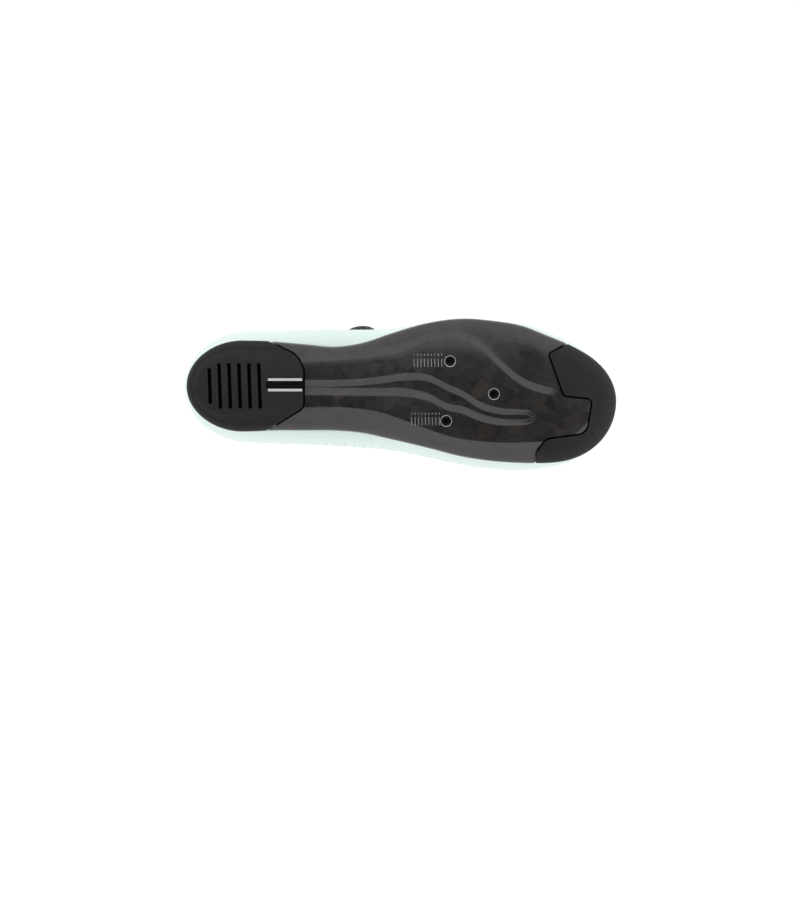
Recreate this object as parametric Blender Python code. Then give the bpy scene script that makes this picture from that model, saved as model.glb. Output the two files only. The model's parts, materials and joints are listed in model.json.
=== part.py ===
"""A right road cycling shoe, empty, lying on its outer side with its sole showing.

It is modelled standing, in the shoe's own frame: x runs from the heel to the toe, y to the wearer's left,
which is this shoe's medial side, and z up from the plane that heel tread and cleat platform stand on.
An empty then lays it down on its lateral side, on the face of its convex hull that it rests on.
"""

import math
from collections import namedtuple

import bmesh
import bpy
import numpy as np
from mathutils import Matrix, Vector
from mathutils.bvhtree import BVHTree
from mathutils.geometry import intersect_point_tri

MM = 0.001

# Driving sizes of the shoe

LENGTH = 280 * MM
BALL_WIDTH = 93.4 * MM
INSTEP_HEIGHT = 92 * MM
BULGE_HEIGHT = 43 * MM
CLEARANCE = 0.3 * MM

# Sole plate

PLATE_THICK = 5 * MM
HEEL_LAND = 5.5 * MM
TOE_SPRING = 19 * MM
TOE_SPRING_POWER = 1.6
ARCH_FROM = 106 * MM
FLAT_FROM = 164 * MM
FLAT_TO = 207 * MM
WALL_RISE = 9 * MM
WALL_RISE_HEEL = 1 * MM
LEDGE = 4.4 * MM
SOLE_SET_IN = 2 * MM
BEVEL_RISE = 1.9 * MM
BEVEL_WIDTH = 4.8 * MM
CHANNEL_DEPTH = 2.4 * MM
CHANNEL_END = 226 * MM

# Heel and toe pads

PAD_WRAP = 2 * MM
HEEL_PAD_BED = 1.2 * MM
TOE_PAD_BED = 2.4 * MM
TOE_PAD_PROUD = 0.7 * MM
TREAD_SLOTS = 6
SLOT_FIRST = 17.2 * MM
SLOT_PITCH = 6.4 * MM
SLOT_WIDTH = 2.1 * MM
SLOT_DEPTH = 2.5 * MM
SLOT_HALF = 14.6 * MM
SLOT_HALF_FIRST = 11.4 * MM
SLOT_SLANT = math.radians(2)
TROUGH_FROM = 54.5 * MM
TROUGH_HALF = 3.7 * MM
TROUGH_DEPTH = 3.6 * MM
PAD_AXIS = 3.3 * MM

# Threaded cleat inserts

BOLT_WIDTH = 38.6 * MM
BOLT_REACH = 29.6 * MM
BOLT_REAR = 170.7 * MM
CLEAT_TURN = math.radians(3.7)
INSERT_RADIUS = 3.8 * MM
INSERT_BORE = 2.5 * MM
INSERT_DEPTH = 4 * MM

# Upper, tongue and insole

WALL = 1.8 * MM
COLLAR_PAD = 2.6 * MM
COLLAR_BACK = 9 * MM
COLLAR_FRONT = 108 * MM
THROAT_END = 204 * MM
RIB_SWEEP = 0.125
COLLAR_ROUND = 30 * MM
THROAT_ROUND = 9 * MM
HEEL_ROUND = 37 * MM
TOE_ROUND = 50 * MM
TONGUE_THICK = 3.2 * MM
TONGUE_DOME = 1.2 * MM
TONGUE_TOP = 27 * MM
TONGUE_LIFT = 5 * MM
TONGUE_TOE = 9 * MM
INSOLE_THICK = 4 * MM

# Lace dial, lace and its guides

DIAL_AT = 114.6 * MM
DIAL_UP = 64 * MM
DIAL_RADIUS = 11.6 * MM
DIAL_BASE_RADIUS = 12.8 * MM
DIAL_BASE_HEIGHT = 2.8 * MM
DIAL_HEIGHT = 6.4 * MM
DIAL_TEETH = 20
DIAL_TOOTH = 0.7 * MM
LACE_RADIUS = 0.75 * MM
GUIDE_LENGTH = 9 * MM
GUIDE_HALF = 3.6 * MM
GUIDE_HEIGHT = 3.4 * MM
GUIDE_HOLE = 1.15 * MM
GUIDE_SET_IN = 7.5 * MM
GUIDES_MEDIAL = (132 * MM, 156 * MM, 180 * MM)
GUIDES_LATERAL = (144 * MM, 168 * MM, 189 * MM)

# Numbers of sections round each form

SOLE_STATIONS = 42
CORE_STATIONS = 26
UPPER_STATIONS = 30
INSOLE_STATIONS = 22

# Tables. "at" is a share of LENGTH from the heel, widths are shares of BALL_WIDTH, heights of INSTEP_HEIGHT
# or BULGE_HEIGHT. "centre" lies towards the lateral side where it is positive.

Outline = namedtuple("Outline", "at centre lateral medial")
SOLE_OUTLINE = (
    Outline(0.000, 0.036, 0.315, 0.313),
    Outline(0.140, 0.036, 0.315, 0.313),
    Outline(0.215, 0.036, 0.308, 0.305),
    Outline(0.285, 0.032, 0.294, 0.301),
    Outline(0.350, 0.026, 0.285, 0.296),
    Outline(0.410, 0.020, 0.316, 0.306),
    Outline(0.480, 0.014, 0.390, 0.346),
    Outline(0.565, 0.007, 0.468, 0.400),
    Outline(0.643, 0.002, 0.501, 0.454),
    Outline(0.714, -0.007, 0.495, 0.476),
    Outline(0.786, -0.022, 0.471, 0.474),
    Outline(0.840, -0.034, 0.423, 0.463),
    Outline(0.893, -0.045, 0.399, 0.464),
    Outline(1.000, -0.062, 0.399, 0.476),
)

# How far the upper's widest line stands out past the sole, and how high it runs
Bulge = namedtuple("Bulge", "at lateral medial lateral_z medial_z")
UPPER_BULGE = (
    Bulge(0.00, 0.026, 0.026, 0.95, 0.95),
    Bulge(0.07, 0.059, 0.050, 0.98, 0.98),
    Bulge(0.14, 0.077, 0.071, 1.00, 1.00),
    Bulge(0.215, 0.090, 0.090, 0.99, 1.00),
    Bulge(0.285, 0.116, 0.097, 0.97, 1.00),
    Bulge(0.35, 0.133, 0.106, 0.94, 0.99),
    Bulge(0.41, 0.111, 0.106, 0.90, 0.97),
    Bulge(0.48, 0.050, 0.078, 0.83, 0.93),
    Bulge(0.565, 0.010, 0.066, 0.74, 0.82),
    Bulge(0.643, -0.002, 0.060, 0.70, 0.76),
    Bulge(0.714, 0.008, 0.058, 0.70, 0.75),
    Bulge(0.786, 0.030, 0.052, 0.71, 0.75),
    Bulge(0.84, 0.038, 0.038, 0.72, 0.76),
    Bulge(0.893, 0.025, 0.014, 0.76, 0.78),
    Bulge(1.00, -0.004, -0.004, 0.80, 0.80),
)

# The edge of collar and throat, and how far the wall leans in where it ends there, in degrees
Topline = namedtuple("Topline", "at centre half lateral_z medial_z lean")
TOPLINE = (
    Topline(0.032, 0.036, 0.255, 0.870, 0.870, 8),
    Topline(0.107, 0.036, 0.265, 0.815, 0.825, 10),
    Topline(0.180, 0.036, 0.285, 0.700, 0.735, 14),
    Topline(0.250, 0.034, 0.292, 0.660, 0.705, 18),
    Topline(0.320, 0.028, 0.272, 0.735, 0.770, 26),
    Topline(0.371, 0.012, 0.224, 0.885, 0.905, 36),
    Topline(0.410, -0.005, 0.170, 0.985, 1.000, 44),
    Topline(0.482, -0.032, 0.132, 0.900, 0.912, 52),
    Topline(0.571, -0.054, 0.114, 0.775, 0.785, 60),
    Topline(0.660, -0.070, 0.098, 0.670, 0.678, 69),
    Topline(0.729, -0.080, 0.094, 0.612, 0.612, 76),
)

# Lines moulded into the plate: the lateral bevel, the channel with its floor, and the platform's medial edge
Relief = namedtuple("Relief", "at bevel channel half floor edge")
PLATE_RELIEF = (
    Relief(0.000, 0.150, 0.028, 0.050, 0.004, -0.110),
    Relief(0.275, 0.228, 0.028, 0.050, 0.004, -0.110),
    Relief(0.385, 0.250, 0.028, 0.054, 0.008, -0.112),
    Relief(0.455, 0.272, 0.036, 0.066, 0.018, -0.146),
    Relief(0.500, 0.298, 0.045, 0.077, 0.026, -0.193),
    Relief(0.568, 0.371, 0.018, 0.090, 0.044, -0.268),
    Relief(0.607, 0.389, -0.040, 0.089, 0.045, -0.308),
    Relief(0.645, 0.375, -0.079, 0.078, 0.031, -0.334),
    Relief(0.682, 0.320, -0.138, 0.066, 0.018, -0.347),
    Relief(0.728, 0.192, -0.175, 0.058, 0.017, -0.356),
    Relief(0.775, 0.076, -0.180, 0.052, 0.020, -0.356),
    Relief(0.822, 0.016, -0.178, 0.040, 0.018, -0.350),
    Relief(0.880, -0.010, -0.178, 0.030, 0.010, -0.340),
    Relief(1.000, -0.020, -0.120, 0.010, 0.002, -0.250),
)

# Corners of the seams between the plate and its pads, seen from beneath, and the radius that rounds each
Corner = namedtuple("Corner", "at across radius")
HEEL_SEAM = (
    Corner(0.150, 0.420, 0.000),
    Corner(0.262, 0.252, 0.150),
    Corner(0.278, 0.150, 0.080),
    Corner(0.278, -0.116, 0.070),
    Corner(0.160, -0.330, 0.000),
)
TOE_SEAM = (
    Corner(0.950, 0.440, 0.000),
    Corner(0.841, 0.260, 0.022),
    Corner(0.876, -0.034, 0.040),
    Corner(0.943, -0.053, 0.036),
    Corner(0.930, -0.290, 0.080),
    Corner(0.834, -0.330, 0.090),
    Corner(0.811, -0.430, 0.080),
    Corner(0.811, -0.560, 0.000),
)

# Base colour, roughness, metallic and density of each material, in kg per cubic metre
Finish = namedtuple("Finish", "colour roughness metallic density")
FINISHES = {
    "carbon": Finish((0.025, 0.023, 0.024), 0.30, 0.0, 1100),
    "tread_rubber": Finish((0.020, 0.020, 0.022), 0.60, 0.0, 1200),
    "mint_shell": Finish((0.70, 0.86, 0.82), 0.45, 0.0, 900),
    "tongue_fabric": Finish((0.66, 0.82, 0.78), 0.80, 0.0, 300),
    "insole_foam": Finish((0.05, 0.05, 0.055), 0.90, 0.0, 300),
    "steel": Finish((0.55, 0.55, 0.56), 0.25, 1.0, 7850),
    "dial_plastic": Finish((0.015, 0.015, 0.016), 0.35, 0.0, 1100),
    "lace_cord": Finish((0.60, 0.62, 0.62), 0.60, 0.0, 300),
    "guide_webbing": Finish((0.62, 0.78, 0.74), 0.70, 0.0, 300),
}


def clear_scene():
    for thing in list(bpy.data.objects):
        bpy.data.objects.remove(thing, do_unlink=True)


def through(rows, name):
    """A smooth function of "at" that runs through one column of a table."""
    at_rows = np.array([row.at for row in rows])
    values = np.array([getattr(row, name) for row in rows], float)
    slopes = np.gradient(values, at_rows)

    def value(at):
        at = np.clip(at, at_rows[0], at_rows[-1])
        i = np.clip(np.searchsorted(at_rows, at, side="right") - 1, 0, len(at_rows) - 2)
        span = at_rows[i + 1] - at_rows[i]
        t = (at - at_rows[i]) / span
        start = (1 + 2 * t) * (1 - t) ** 2 * values[i] + t * (1 - t) ** 2 * span * slopes[i]
        end = t * t * (3 - 2 * t) * values[i + 1] + t * t * (t - 1) * span * slopes[i + 1]
        return start + end

    return value


def ease(t):
    """0 to 1 with flat ends."""
    t = np.clip(t, 0, 1)
    return t * t * (3 - 2 * t)


def stretch(s, first, last, round_first, round_last):
    """Distance along the shoe of section s, from 0 to 1: even in the middle, and turning with a round end."""
    straight = (last - first) - round_first - round_last
    quarter = math.pi / 2
    total = straight + quarter * (round_first + round_last)
    e_first = quarter * round_first / total
    e_last = quarter * round_last / total
    s = np.asarray(s, float)
    near = first + round_first * (1 - np.cos(quarter * np.clip(s / e_first, 0, 1)))
    far = last - round_last * (1 - np.cos(quarter * np.clip((1 - s) / e_last, 0, 1)))
    middle = first + round_first + (s - e_first) * total
    return np.where(s < e_first, near, np.where(s > 1 - e_last, far, middle))


def end_round(x, first, last, round_first, round_last):
    """Share of the full width left at x, where both ends are rounded off."""
    near = np.clip(1 - (x - first) / round_first, 0, 1)
    far = np.clip(1 - (last - x) / round_last, 0, 1)
    return np.sqrt(np.clip(1 - near**2, 0, 1)) * np.sqrt(np.clip(1 - far**2, 0, 1))


def loop_sections(stations):
    """Section and side of each point of a closed loop: up the lateral side, and back down the medial one."""
    up = np.linspace(0, 1, stations + 1)
    s = np.concatenate([up, up[-2:0:-1]])
    side = np.concatenate([np.ones(stations + 1), -np.ones(stations - 1)])
    return s, side


def by_side(side, lateral, medial):
    return np.where(side > 0, lateral, medial)


class Last:
    """The shoe's plan and profile, worked out from the driving sizes and the tables."""

    def __init__(self):
        self.centre = through(SOLE_OUTLINE, "centre")
        self.half_lateral = through(SOLE_OUTLINE, "lateral")
        self.half_medial = through(SOLE_OUTLINE, "medial")
        self.over_lateral = through(UPPER_BULGE, "lateral")
        self.over_medial = through(UPPER_BULGE, "medial")
        self.bulge_lateral = through(UPPER_BULGE, "lateral_z")
        self.bulge_medial = through(UPPER_BULGE, "medial_z")
        self.top_centre = through(TOPLINE, "centre")
        self.top_half = through(TOPLINE, "half")
        self.top_lateral = through(TOPLINE, "lateral_z")
        self.top_medial = through(TOPLINE, "medial_z")
        self.lean = through(TOPLINE, "lean")

    def sole_edge(self, s, side):
        """Plan points of the sole's outline and their outward normals, round a closed loop."""
        ends = (SOLE_SET_IN, LENGTH, HEEL_ROUND, TOE_ROUND)
        x = stretch(s, *ends)
        at = x / LENGTH
        half = by_side(side, self.half_lateral(at), self.half_medial(at)) * end_round(x, *ends)
        y = -(self.centre(at) + side * half) * BALL_WIDTH
        plan = np.stack([x, y], axis=1)
        along = np.roll(plan, -1, axis=0) - np.roll(plan, 1, axis=0)
        out = np.stack([-along[:, 1], along[:, 0]], axis=1)
        out /= np.linalg.norm(out, axis=1)[:, None]
        middle = plan.mean(axis=0)
        flip = np.sign(((plan - middle) * out).sum())
        return plan, out * flip

    def land(self, x):
        """Height of the plate's underside: raised at the heel, flat under the ball, sprung at the toe."""
        heel = HEEL_LAND * (1 - ease((x - ARCH_FROM) / (FLAT_FROM - ARCH_FROM)))
        spring = np.clip((x - FLAT_TO) / (LENGTH - FLAT_TO), 0, 1) ** TOE_SPRING_POWER
        return heel + TOE_SPRING * spring

    def rim(self, x):
        """Height of the plate's edge, where the upper sits on it."""
        return self.land(x) + WALL_RISE + WALL_RISE_HEEL * (1 - ease((x - ARCH_FROM) / (FLAT_FROM - ARCH_FROM)))

    def bed(self, x):
        return self.land(x) + PLATE_THICK

    def widest(self, s, side):
        """The upper's widest line, with the sole's outward normals."""
        plan, out = self.sole_edge(s, side)
        at = plan[:, 0] / LENGTH
        over = by_side(side, self.over_lateral(at), self.over_medial(at)) * BALL_WIDTH
        z = by_side(side, self.bulge_lateral(at), self.bulge_medial(at)) * BULGE_HEIGHT
        return np.column_stack([plan + out * over[:, None], z])

    def topline(self, s, side):
        """The edge of the collar and the throat, and how far the wall leans in there, in radians."""
        ends = (COLLAR_BACK, THROAT_END, COLLAR_ROUND, THROAT_ROUND)
        x = stretch(s + RIB_SWEEP * s * np.sin(math.pi * s), *ends)
        at = x / LENGTH
        half = self.top_half(at) * end_round(x, *ends)
        y = -(self.top_centre(at) + side * half) * BALL_WIDTH
        z = by_side(side, self.top_lateral(at), self.top_medial(at)) * INSTEP_HEIGHT
        return np.column_stack([x, y, z]), np.radians(self.lean(at))


LAST = Last()
LOWER_STEPS = (0.0, 0.35, 0.7)
UPPER_STEPS = (0.0, 0.12, 0.26, 0.40, 0.54, 0.68, 0.80, 0.90, 1.0)
FEATHER_SET_IN = 0.2 * MM
FEATHER_SPREAD = 0.6
RIB_FULL_LOW = 0.36
RIB_FULL_HIGH = 0.36


def bezier(a, b, c, d, t):
    return (1 - t) ** 3 * a + 3 * t * (1 - t) ** 2 * b + 3 * t * t * (1 - t) * c + t**3 * d


class Wall:
    """The upper's skin as a grid of points: one rib for each section, from the sole's edge to the topline."""

    def __init__(self, stations):
        s, side = loop_sections(stations)
        plan, out = LAST.sole_edge(s, side)
        self.inward = np.column_stack([-out, np.zeros(len(out))])
        up = np.array([0.0, 0.0, 1.0])
        foot = np.column_stack([plan - out * FEATHER_SET_IN, LAST.rim(plan[:, 0]) + CLEARANCE])
        wide = LAST.widest(s, side)
        top, lean = LAST.topline(s, side)
        lift = (wide - foot)[:, 2:3]
        foot_to = foot - self.inward * (wide - foot)[:, :2].__abs__().max(axis=1)[:, None] * FEATHER_SPREAD
        foot_to = foot_to + up * lift * 0.25
        wide_from = wide - up * lift * 0.45
        reach = np.linalg.norm(top - wide, axis=1)[:, None]
        inwards = (top - wide) * np.array([1.0, 1.0, 0.0])
        inwards /= np.linalg.norm(inwards, axis=1)[:, None]
        arrive = inwards * np.sin(lean)[:, None] + up * np.cos(lean)[:, None]
        rise = np.minimum(RIB_FULL_LOW * reach, 0.6 * (top - wide)[:, 2:3])
        low = [bezier(foot, foot_to, wide_from, wide, t) for t in LOWER_STEPS]
        high = [
            bezier(wide, wide + up * rise, top - arrive * RIB_FULL_HIGH * reach, top, t) for t in UPPER_STEPS
        ]
        self.s, self.side, self.stations = s, side, stations
        self.points = np.stack(low + high, axis=1)
        self.levels = np.concatenate([-1 + np.array(LOWER_STEPS), UPPER_STEPS])
        self.normals = self.outward()
        self.top_at = top[:, 0]

    def outward(self):
        round_shoe = np.roll(self.points, -1, axis=0) - np.roll(self.points, 1, axis=0)
        up_rib = np.gradient(self.points, axis=1)
        normal = np.cross(up_rib, round_shoe)
        normal /= np.linalg.norm(normal, axis=2)[:, :, None]
        flip = np.sign((normal[:, len(LOWER_STEPS)] * -self.inward).sum())
        normal *= flip
        normal[:, 0] = -self.inward
        return normal

    def thickness(self):
        """Wall of each point: thin over the foot, and padded round the collar."""
        collar = 1 - ease((self.top_at - 0.82 * COLLAR_FRONT) / (0.25 * COLLAR_FRONT))
        padded = ease((self.levels - 0.15) / 0.55)
        return WALL + COLLAR_PAD * collar[:, None] * padded[None, :]

    def offset(self, depth):
        """The grid moved inwards along its normals by depth, a number or one for each point."""
        return self.points - self.normals * (depth * np.ones(self.points.shape[:2]))[:, :, None]

    def rim(self, rise):
        """Points above the middle of the topline's edge, by rise."""
        up = self.points[:, -1] - self.points[:, -2]
        up /= np.linalg.norm(up, axis=1)[:, None]
        middle = self.points[:, -1] - self.normals[:, -1] * 0.5 * self.thickness()[:, -1:]
        return middle + up * (rise * np.ones(len(up)))[:, None]

    def at_topline(self, x, side, level, depth=0.0):
        """Point and outward normal on the rib that ends at x on the topline, at a level from 0 to 1."""
        mine = np.where((self.side == side) | (self.s == 0) | (self.s == 1))[0]
        mine = mine[np.argsort(self.top_at[mine])]
        grid = self.offset(depth)
        point = [self.between(grid[mine], mine, x, level, k) for k in range(3)]
        normal = Vector([self.between(self.normals[mine], mine, x, level, k) for k in range(3)])
        return Vector(point), normal.normalized()

    def below_edge(self, x, side, distance):
        """Point and outward normal a distance down the rib that ends at x on the topline."""
        edge, _ = self.at_topline(x, side, 1.0)
        low, high = 0.0, 1.0
        for _ in range(20):
            level = 0.5 * (low + high)
            point, normal = self.at_topline(x, side, level)
            if (point - edge).length > distance:
                low = level
            else:
                high = level
        return point, normal

    def between(self, grid, mine, x, level, k):
        along = [np.interp(level, self.levels, grid[i, :, k]) for i in range(len(mine))]
        return float(np.interp(x, self.top_at[mine], along))


def material(name):
    made = bpy.data.materials.get(name)
    if made is None:
        finish = FINISHES[name]
        made = bpy.data.materials.new(name)
        made.use_nodes = True
        shader = made.node_tree.nodes["Principled BSDF"]
        shader.inputs["Base Color"].default_value = (*finish.colour, 1)
        shader.inputs["Roughness"].default_value = finish.roughness
        shader.inputs["Metallic"].default_value = finish.metallic
        made.diffuse_color = (*finish.colour, 1)
    return made


def finished(name, mesh_made, finish=None):
    """An object from a bmesh, with its faces pointing out. Without a finish it is a cutter."""
    bmesh.ops.remove_doubles(mesh_made, verts=mesh_made.verts, dist=1e-7)
    bmesh.ops.recalc_face_normals(mesh_made, faces=mesh_made.faces)
    mesh = bpy.data.meshes.new(name)
    mesh_made.to_mesh(mesh)
    mesh_made.free()
    thing = bpy.data.objects.new(name, mesh)
    bpy.context.scene.collection.objects.link(thing)
    if finish is None:
        thing.hide_render = True
        thing.display_type = "WIRE"
    else:
        mesh.materials.append(material(finish))
        mesh.shade_smooth()
        mesh.set_sharp_from_angle(angle=math.radians(30))
    return thing


def boolean(thing, cutter, operation="DIFFERENCE"):
    step = thing.modifiers.new(cutter.name, "BOOLEAN")
    step.object = cutter
    step.operation = operation
    return thing


def weld(thing):
    """Merge the slivers that a cut leaves where its edge passes close by a corner."""
    step = thing.modifiers.new("weld", "WELD")
    step.merge_threshold = 0.03 * MM
    return thing


def skin(made, rows, closed=True):
    """Quads between rows of vertices, each row a closed loop or an open strip."""
    count = len(rows[0])
    for low, high in zip(rows, rows[1:]):
        for i in range(count if closed else count - 1):
            j = (i + 1) % count
            made.faces.new((low[i], low[j], high[j], high[i]))


def new_row(made, points):
    return [made.verts.new(Vector(p)) for p in points]


def fill_across(made, ring, across):
    """Close the middle of a loop with rungs from its lateral to its medial points.

    across(i, lateral, medial) gives the points of rung i between the two ends."""
    half = len(ring) // 2
    rungs = [[ring[0]]]
    for i in range(1, half):
        lateral, medial = ring[i], ring[-i]
        inner = new_row(made, across(i, lateral.co, medial.co))
        rungs.append([lateral, *inner, medial])
    rungs.append([ring[half]])
    for near, far in zip(rungs, rungs[1:]):
        if len(near) == 1:
            near = near * len(far)
        if len(far) == 1:
            far = far * len(near)
        for k in range(len(near) - 1):
            corners = []
            for v in (near[k], near[k + 1], far[k + 1], far[k]):
                if v not in corners:
                    corners.append(v)
            made.faces.new(corners)


def even_rungs(count, height):
    """Rungs of evenly spaced points at height(x)."""

    def across(i, lateral, medial):
        points = []
        for k in range(1, count + 1):
            p = lateral.lerp(medial, k / (count + 1))
            points.append((p.x, p.y, float(height(p.x))))
        return points

    return across


def slab(name, stations, lower, lower_rungs, upper, upper_rungs, finish=None):
    """A closed form whose rings follow the sole's outline.

    lower runs from its inner ring out, upper from its outer ring in; each ring is an inset from the outline
    and a height function of x and side."""
    s, side = loop_sections(stations)
    plan, out = LAST.sole_edge(s, side)
    made = bmesh.new()
    rows = []
    for inset, height in [*lower, *upper]:
        at = plan - out * inset
        rows.append(new_row(made, np.column_stack([at, height(at[:, 0], side)])))
    skin(made, rows)
    fill_across(made, rows[0], lower_rungs)
    fill_across(made, rows[-1], upper_rungs)
    return finished(name, made, finish)


PLATE_SHOULDER = 2.0 * MM


def relief_rungs():
    """Rungs of the plate's underside: low land, bevel, platform, channel, platform and medial edge."""
    bevel = through(PLATE_RELIEF, "bevel")
    channel = through(PLATE_RELIEF, "channel")
    half = through(PLATE_RELIEF, "half")
    floor = through(PLATE_RELIEF, "floor")
    edge = through(PLATE_RELIEF, "edge")

    def across(i, lateral, medial):
        x = 0.5 * (lateral.x + medial.x)
        at = x / LENGTH
        land = float(LAST.land(x))
        # Where the sole narrows at its ends, under the pads, the lines close up with it
        room = min(1.0, abs(lateral.y) / (0.27 * BALL_WIDTH), abs(medial.y) / (0.18 * BALL_WIDTH))
        room = room if x < 0.2 * LENGTH or x > 0.9 * LENGTH else 1.0
        fade = 1 - float(ease((x - CHANNEL_END + 6 * MM) / (6 * MM)))
        low = land + BEVEL_RISE * (1 - float(ease((at - 0.80) / 0.08)))
        depth = CHANNEL_DEPTH * fade
        lines = [
            (bevel(at) + 0.5 * BEVEL_WIDTH / BALL_WIDTH, low),
            (bevel(at) - 0.5 * BEVEL_WIDTH / BALL_WIDTH, land),
            (0.5 * (bevel(at) + channel(at) + half(at)), land),
            (channel(at) + half(at), land),
            (channel(at) + floor(at), land + depth),
            (channel(at) - floor(at), land + depth),
            (channel(at) - half(at), land),
            (0.5 * (edge(at) + channel(at) - half(at)), land),
            (edge(at), land),
        ]
        return [(x, -float(across_at) * BALL_WIDTH * room, z) for across_at, z in lines]

    return across


def plate_body():
    """The moulded plate before its pads' seats are cut: a shallow tray with a ledge for the upper."""

    def above_land(lateral, medial):
        return lambda x, side: LAST.land(x) + by_side(side, lateral, medial) * MM

    def rim(x, side):
        return LAST.rim(x)

    def bed(x, side):
        return LAST.bed(x)

    lower = [
        (5.2 * MM, above_land(2.0, 3.4)),
        (2.2 * MM, above_land(2.7, 4.8)),
        (0.6 * MM, above_land(4.2, 6.0)),
        (0.0, above_land(6.0, 7.4)),
    ]
    upper = [
        (0.0, rim),
        (LEDGE, rim),
        (LEDGE + 0.2 * MM, lambda x, side: LAST.bed(x) + 1.2 * MM),
        (LEDGE + PLATE_SHOULDER, bed),
    ]
    return slab("sole_plate", SOLE_STATIONS, lower, relief_rungs(), upper, even_rungs(3, LAST.bed), "carbon")


def core_height(x):
    """Underside of the plate where a pad covers it."""
    toe = ease((x - 0.45 * LENGTH) / (0.1 * LENGTH))
    return LAST.land(x) + HEEL_PAD_BED + (TOE_PAD_BED - HEEL_PAD_BED) * toe


def core(name, grow):
    """What the pads leave of the plate, grown by a clearance."""

    def low(x, side):
        return core_height(x) - grow

    def mid(x, side):
        return core_height(x) + 2.2 * MM - grow

    def high(x, side):
        return LAST.rim(x) + WALL_RISE

    wrap = PAD_WRAP - grow
    lower = [(wrap + 4 * MM, low), (wrap, mid)]
    upper = [(wrap, high)]
    rungs = even_rungs(1, lambda x: float(core_height(x)) - grow)
    return slab(name, CORE_STATIONS, lower, rungs, upper, even_rungs(1, lambda x: float(high(x, 0))))


def round_corners(corners):
    """A seam's line from its corners, each rounded by an arc of its own radius."""
    steps = 5
    points = []
    for k, corner in enumerate(corners):
        here = Vector((corner.at * LENGTH, -corner.across * BALL_WIDTH))
        radius = corner.radius * BALL_WIDTH
        if radius == 0:
            points.append(here)
            continue
        before, after = corners[k - 1], corners[k + 1]
        to_before = Vector((before.at * LENGTH, -before.across * BALL_WIDTH)) - here
        to_after = Vector((after.at * LENGTH, -after.across * BALL_WIDTH)) - here
        half_turn = to_before.angle(to_after) / 2
        back = radius / math.tan(half_turn)
        start = here + to_before.normalized() * back
        end = here + to_after.normalized() * back
        middle = here + (to_before.normalized() + to_after.normalized()).normalized() * radius / math.sin(half_turn)
        first = (start - middle).to_2d()
        turn = first.angle_signed((end - middle).to_2d())
        for step in range(steps + 1):
            angle = -turn * step / steps
            spun = Matrix.Rotation(angle, 2) @ first
            points.append(middle + spun)
    return points


def moved_seam(line, gap):
    """The seam's line moved sideways by gap: towards the heel where it is positive."""
    moved = []
    for k, point in enumerate(line):
        before, after = line[max(k - 1, 0)], line[min(k + 1, len(line) - 1)]
        along = (after - before).normalized()
        moved.append(point + Vector((-along.y, along.x)) * gap)
    return moved


def seam_prism(name, line, end_at):
    """A tall block that covers the sole from its seam line to one end of the shoe."""
    low, high = -0.1 * LENGTH, 0.4 * LENGTH
    outline = [*line, Vector((end_at, line[-1].y)), Vector((end_at, line[0].y))]
    made = bmesh.new()
    face = made.faces.new(new_row(made, [(p.x, p.y, low) for p in outline]))
    grown = bmesh.ops.extrude_face_region(made, geom=[face])
    top = [v for v in grown["geom"] if isinstance(v, bmesh.types.BMVert)]
    bmesh.ops.translate(made, verts=top, vec=(0, 0, high - low))
    return finished(name, made)


def box_cutter(name, middle, half, turn=0.0):
    made = bmesh.new()
    matrix = Matrix.Translation(middle) @ Matrix.Rotation(turn, 4, "Z") @ Matrix.Diagonal((*[2 * h for h in half], 1))
    bmesh.ops.create_cube(made, size=1, matrix=matrix)
    return finished(name, made)


def heel_pad():
    """Rubber tread under the heel, wrapped round the plate's edge, with six slots and a trough."""

    def height(millimetres):
        return lambda x, side: np.full_like(x, millimetres * MM)

    def rim(x, side):
        return LAST.rim(x)

    lower = [
        (11.5 * MM, height(0.0)),
        (9.6 * MM, height(0.8)),
        (4.6 * MM, height(1.3)),
        (1.3 * MM, height(2.6)),
        (0.2 * MM, height(4.2)),
        (0.0, height(6.5)),
    ]
    pad = slab(
        "heel_pad",
        SOLE_STATIONS,
        lower,
        even_rungs(1, lambda x: 0.0),
        [(0.0, rim)],
        even_rungs(1, lambda x: float(LAST.rim(x))),
        "tread_rubber",
    )
    return pad


def toe_pad():
    """Rubber bumper round the toe, a little proud of the plate."""

    def below_plate(lateral, medial):
        return lambda x, side: LAST.land(x) + by_side(side, lateral, medial) * MM - TOE_PAD_PROUD

    def rim(x, side):
        return LAST.rim(x)

    lower = [
        (12 * MM, below_plate(0.6, 0.6)),
        (5.5 * MM, below_plate(1.4, 1.8)),
        (1.8 * MM, below_plate(3.4, 3.8)),
        (0.3 * MM, below_plate(5.4, 5.8)),
        (0.0, below_plate(7.4, 7.6)),
    ]
    return slab(
        "toe_pad",
        SOLE_STATIONS,
        lower,
        even_rungs(2, lambda x: float(LAST.land(x)) - TOE_PAD_PROUD),
        [(0.0, rim)],
        even_rungs(2, lambda x: float(LAST.rim(x))),
        "tread_rubber",
    )


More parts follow.
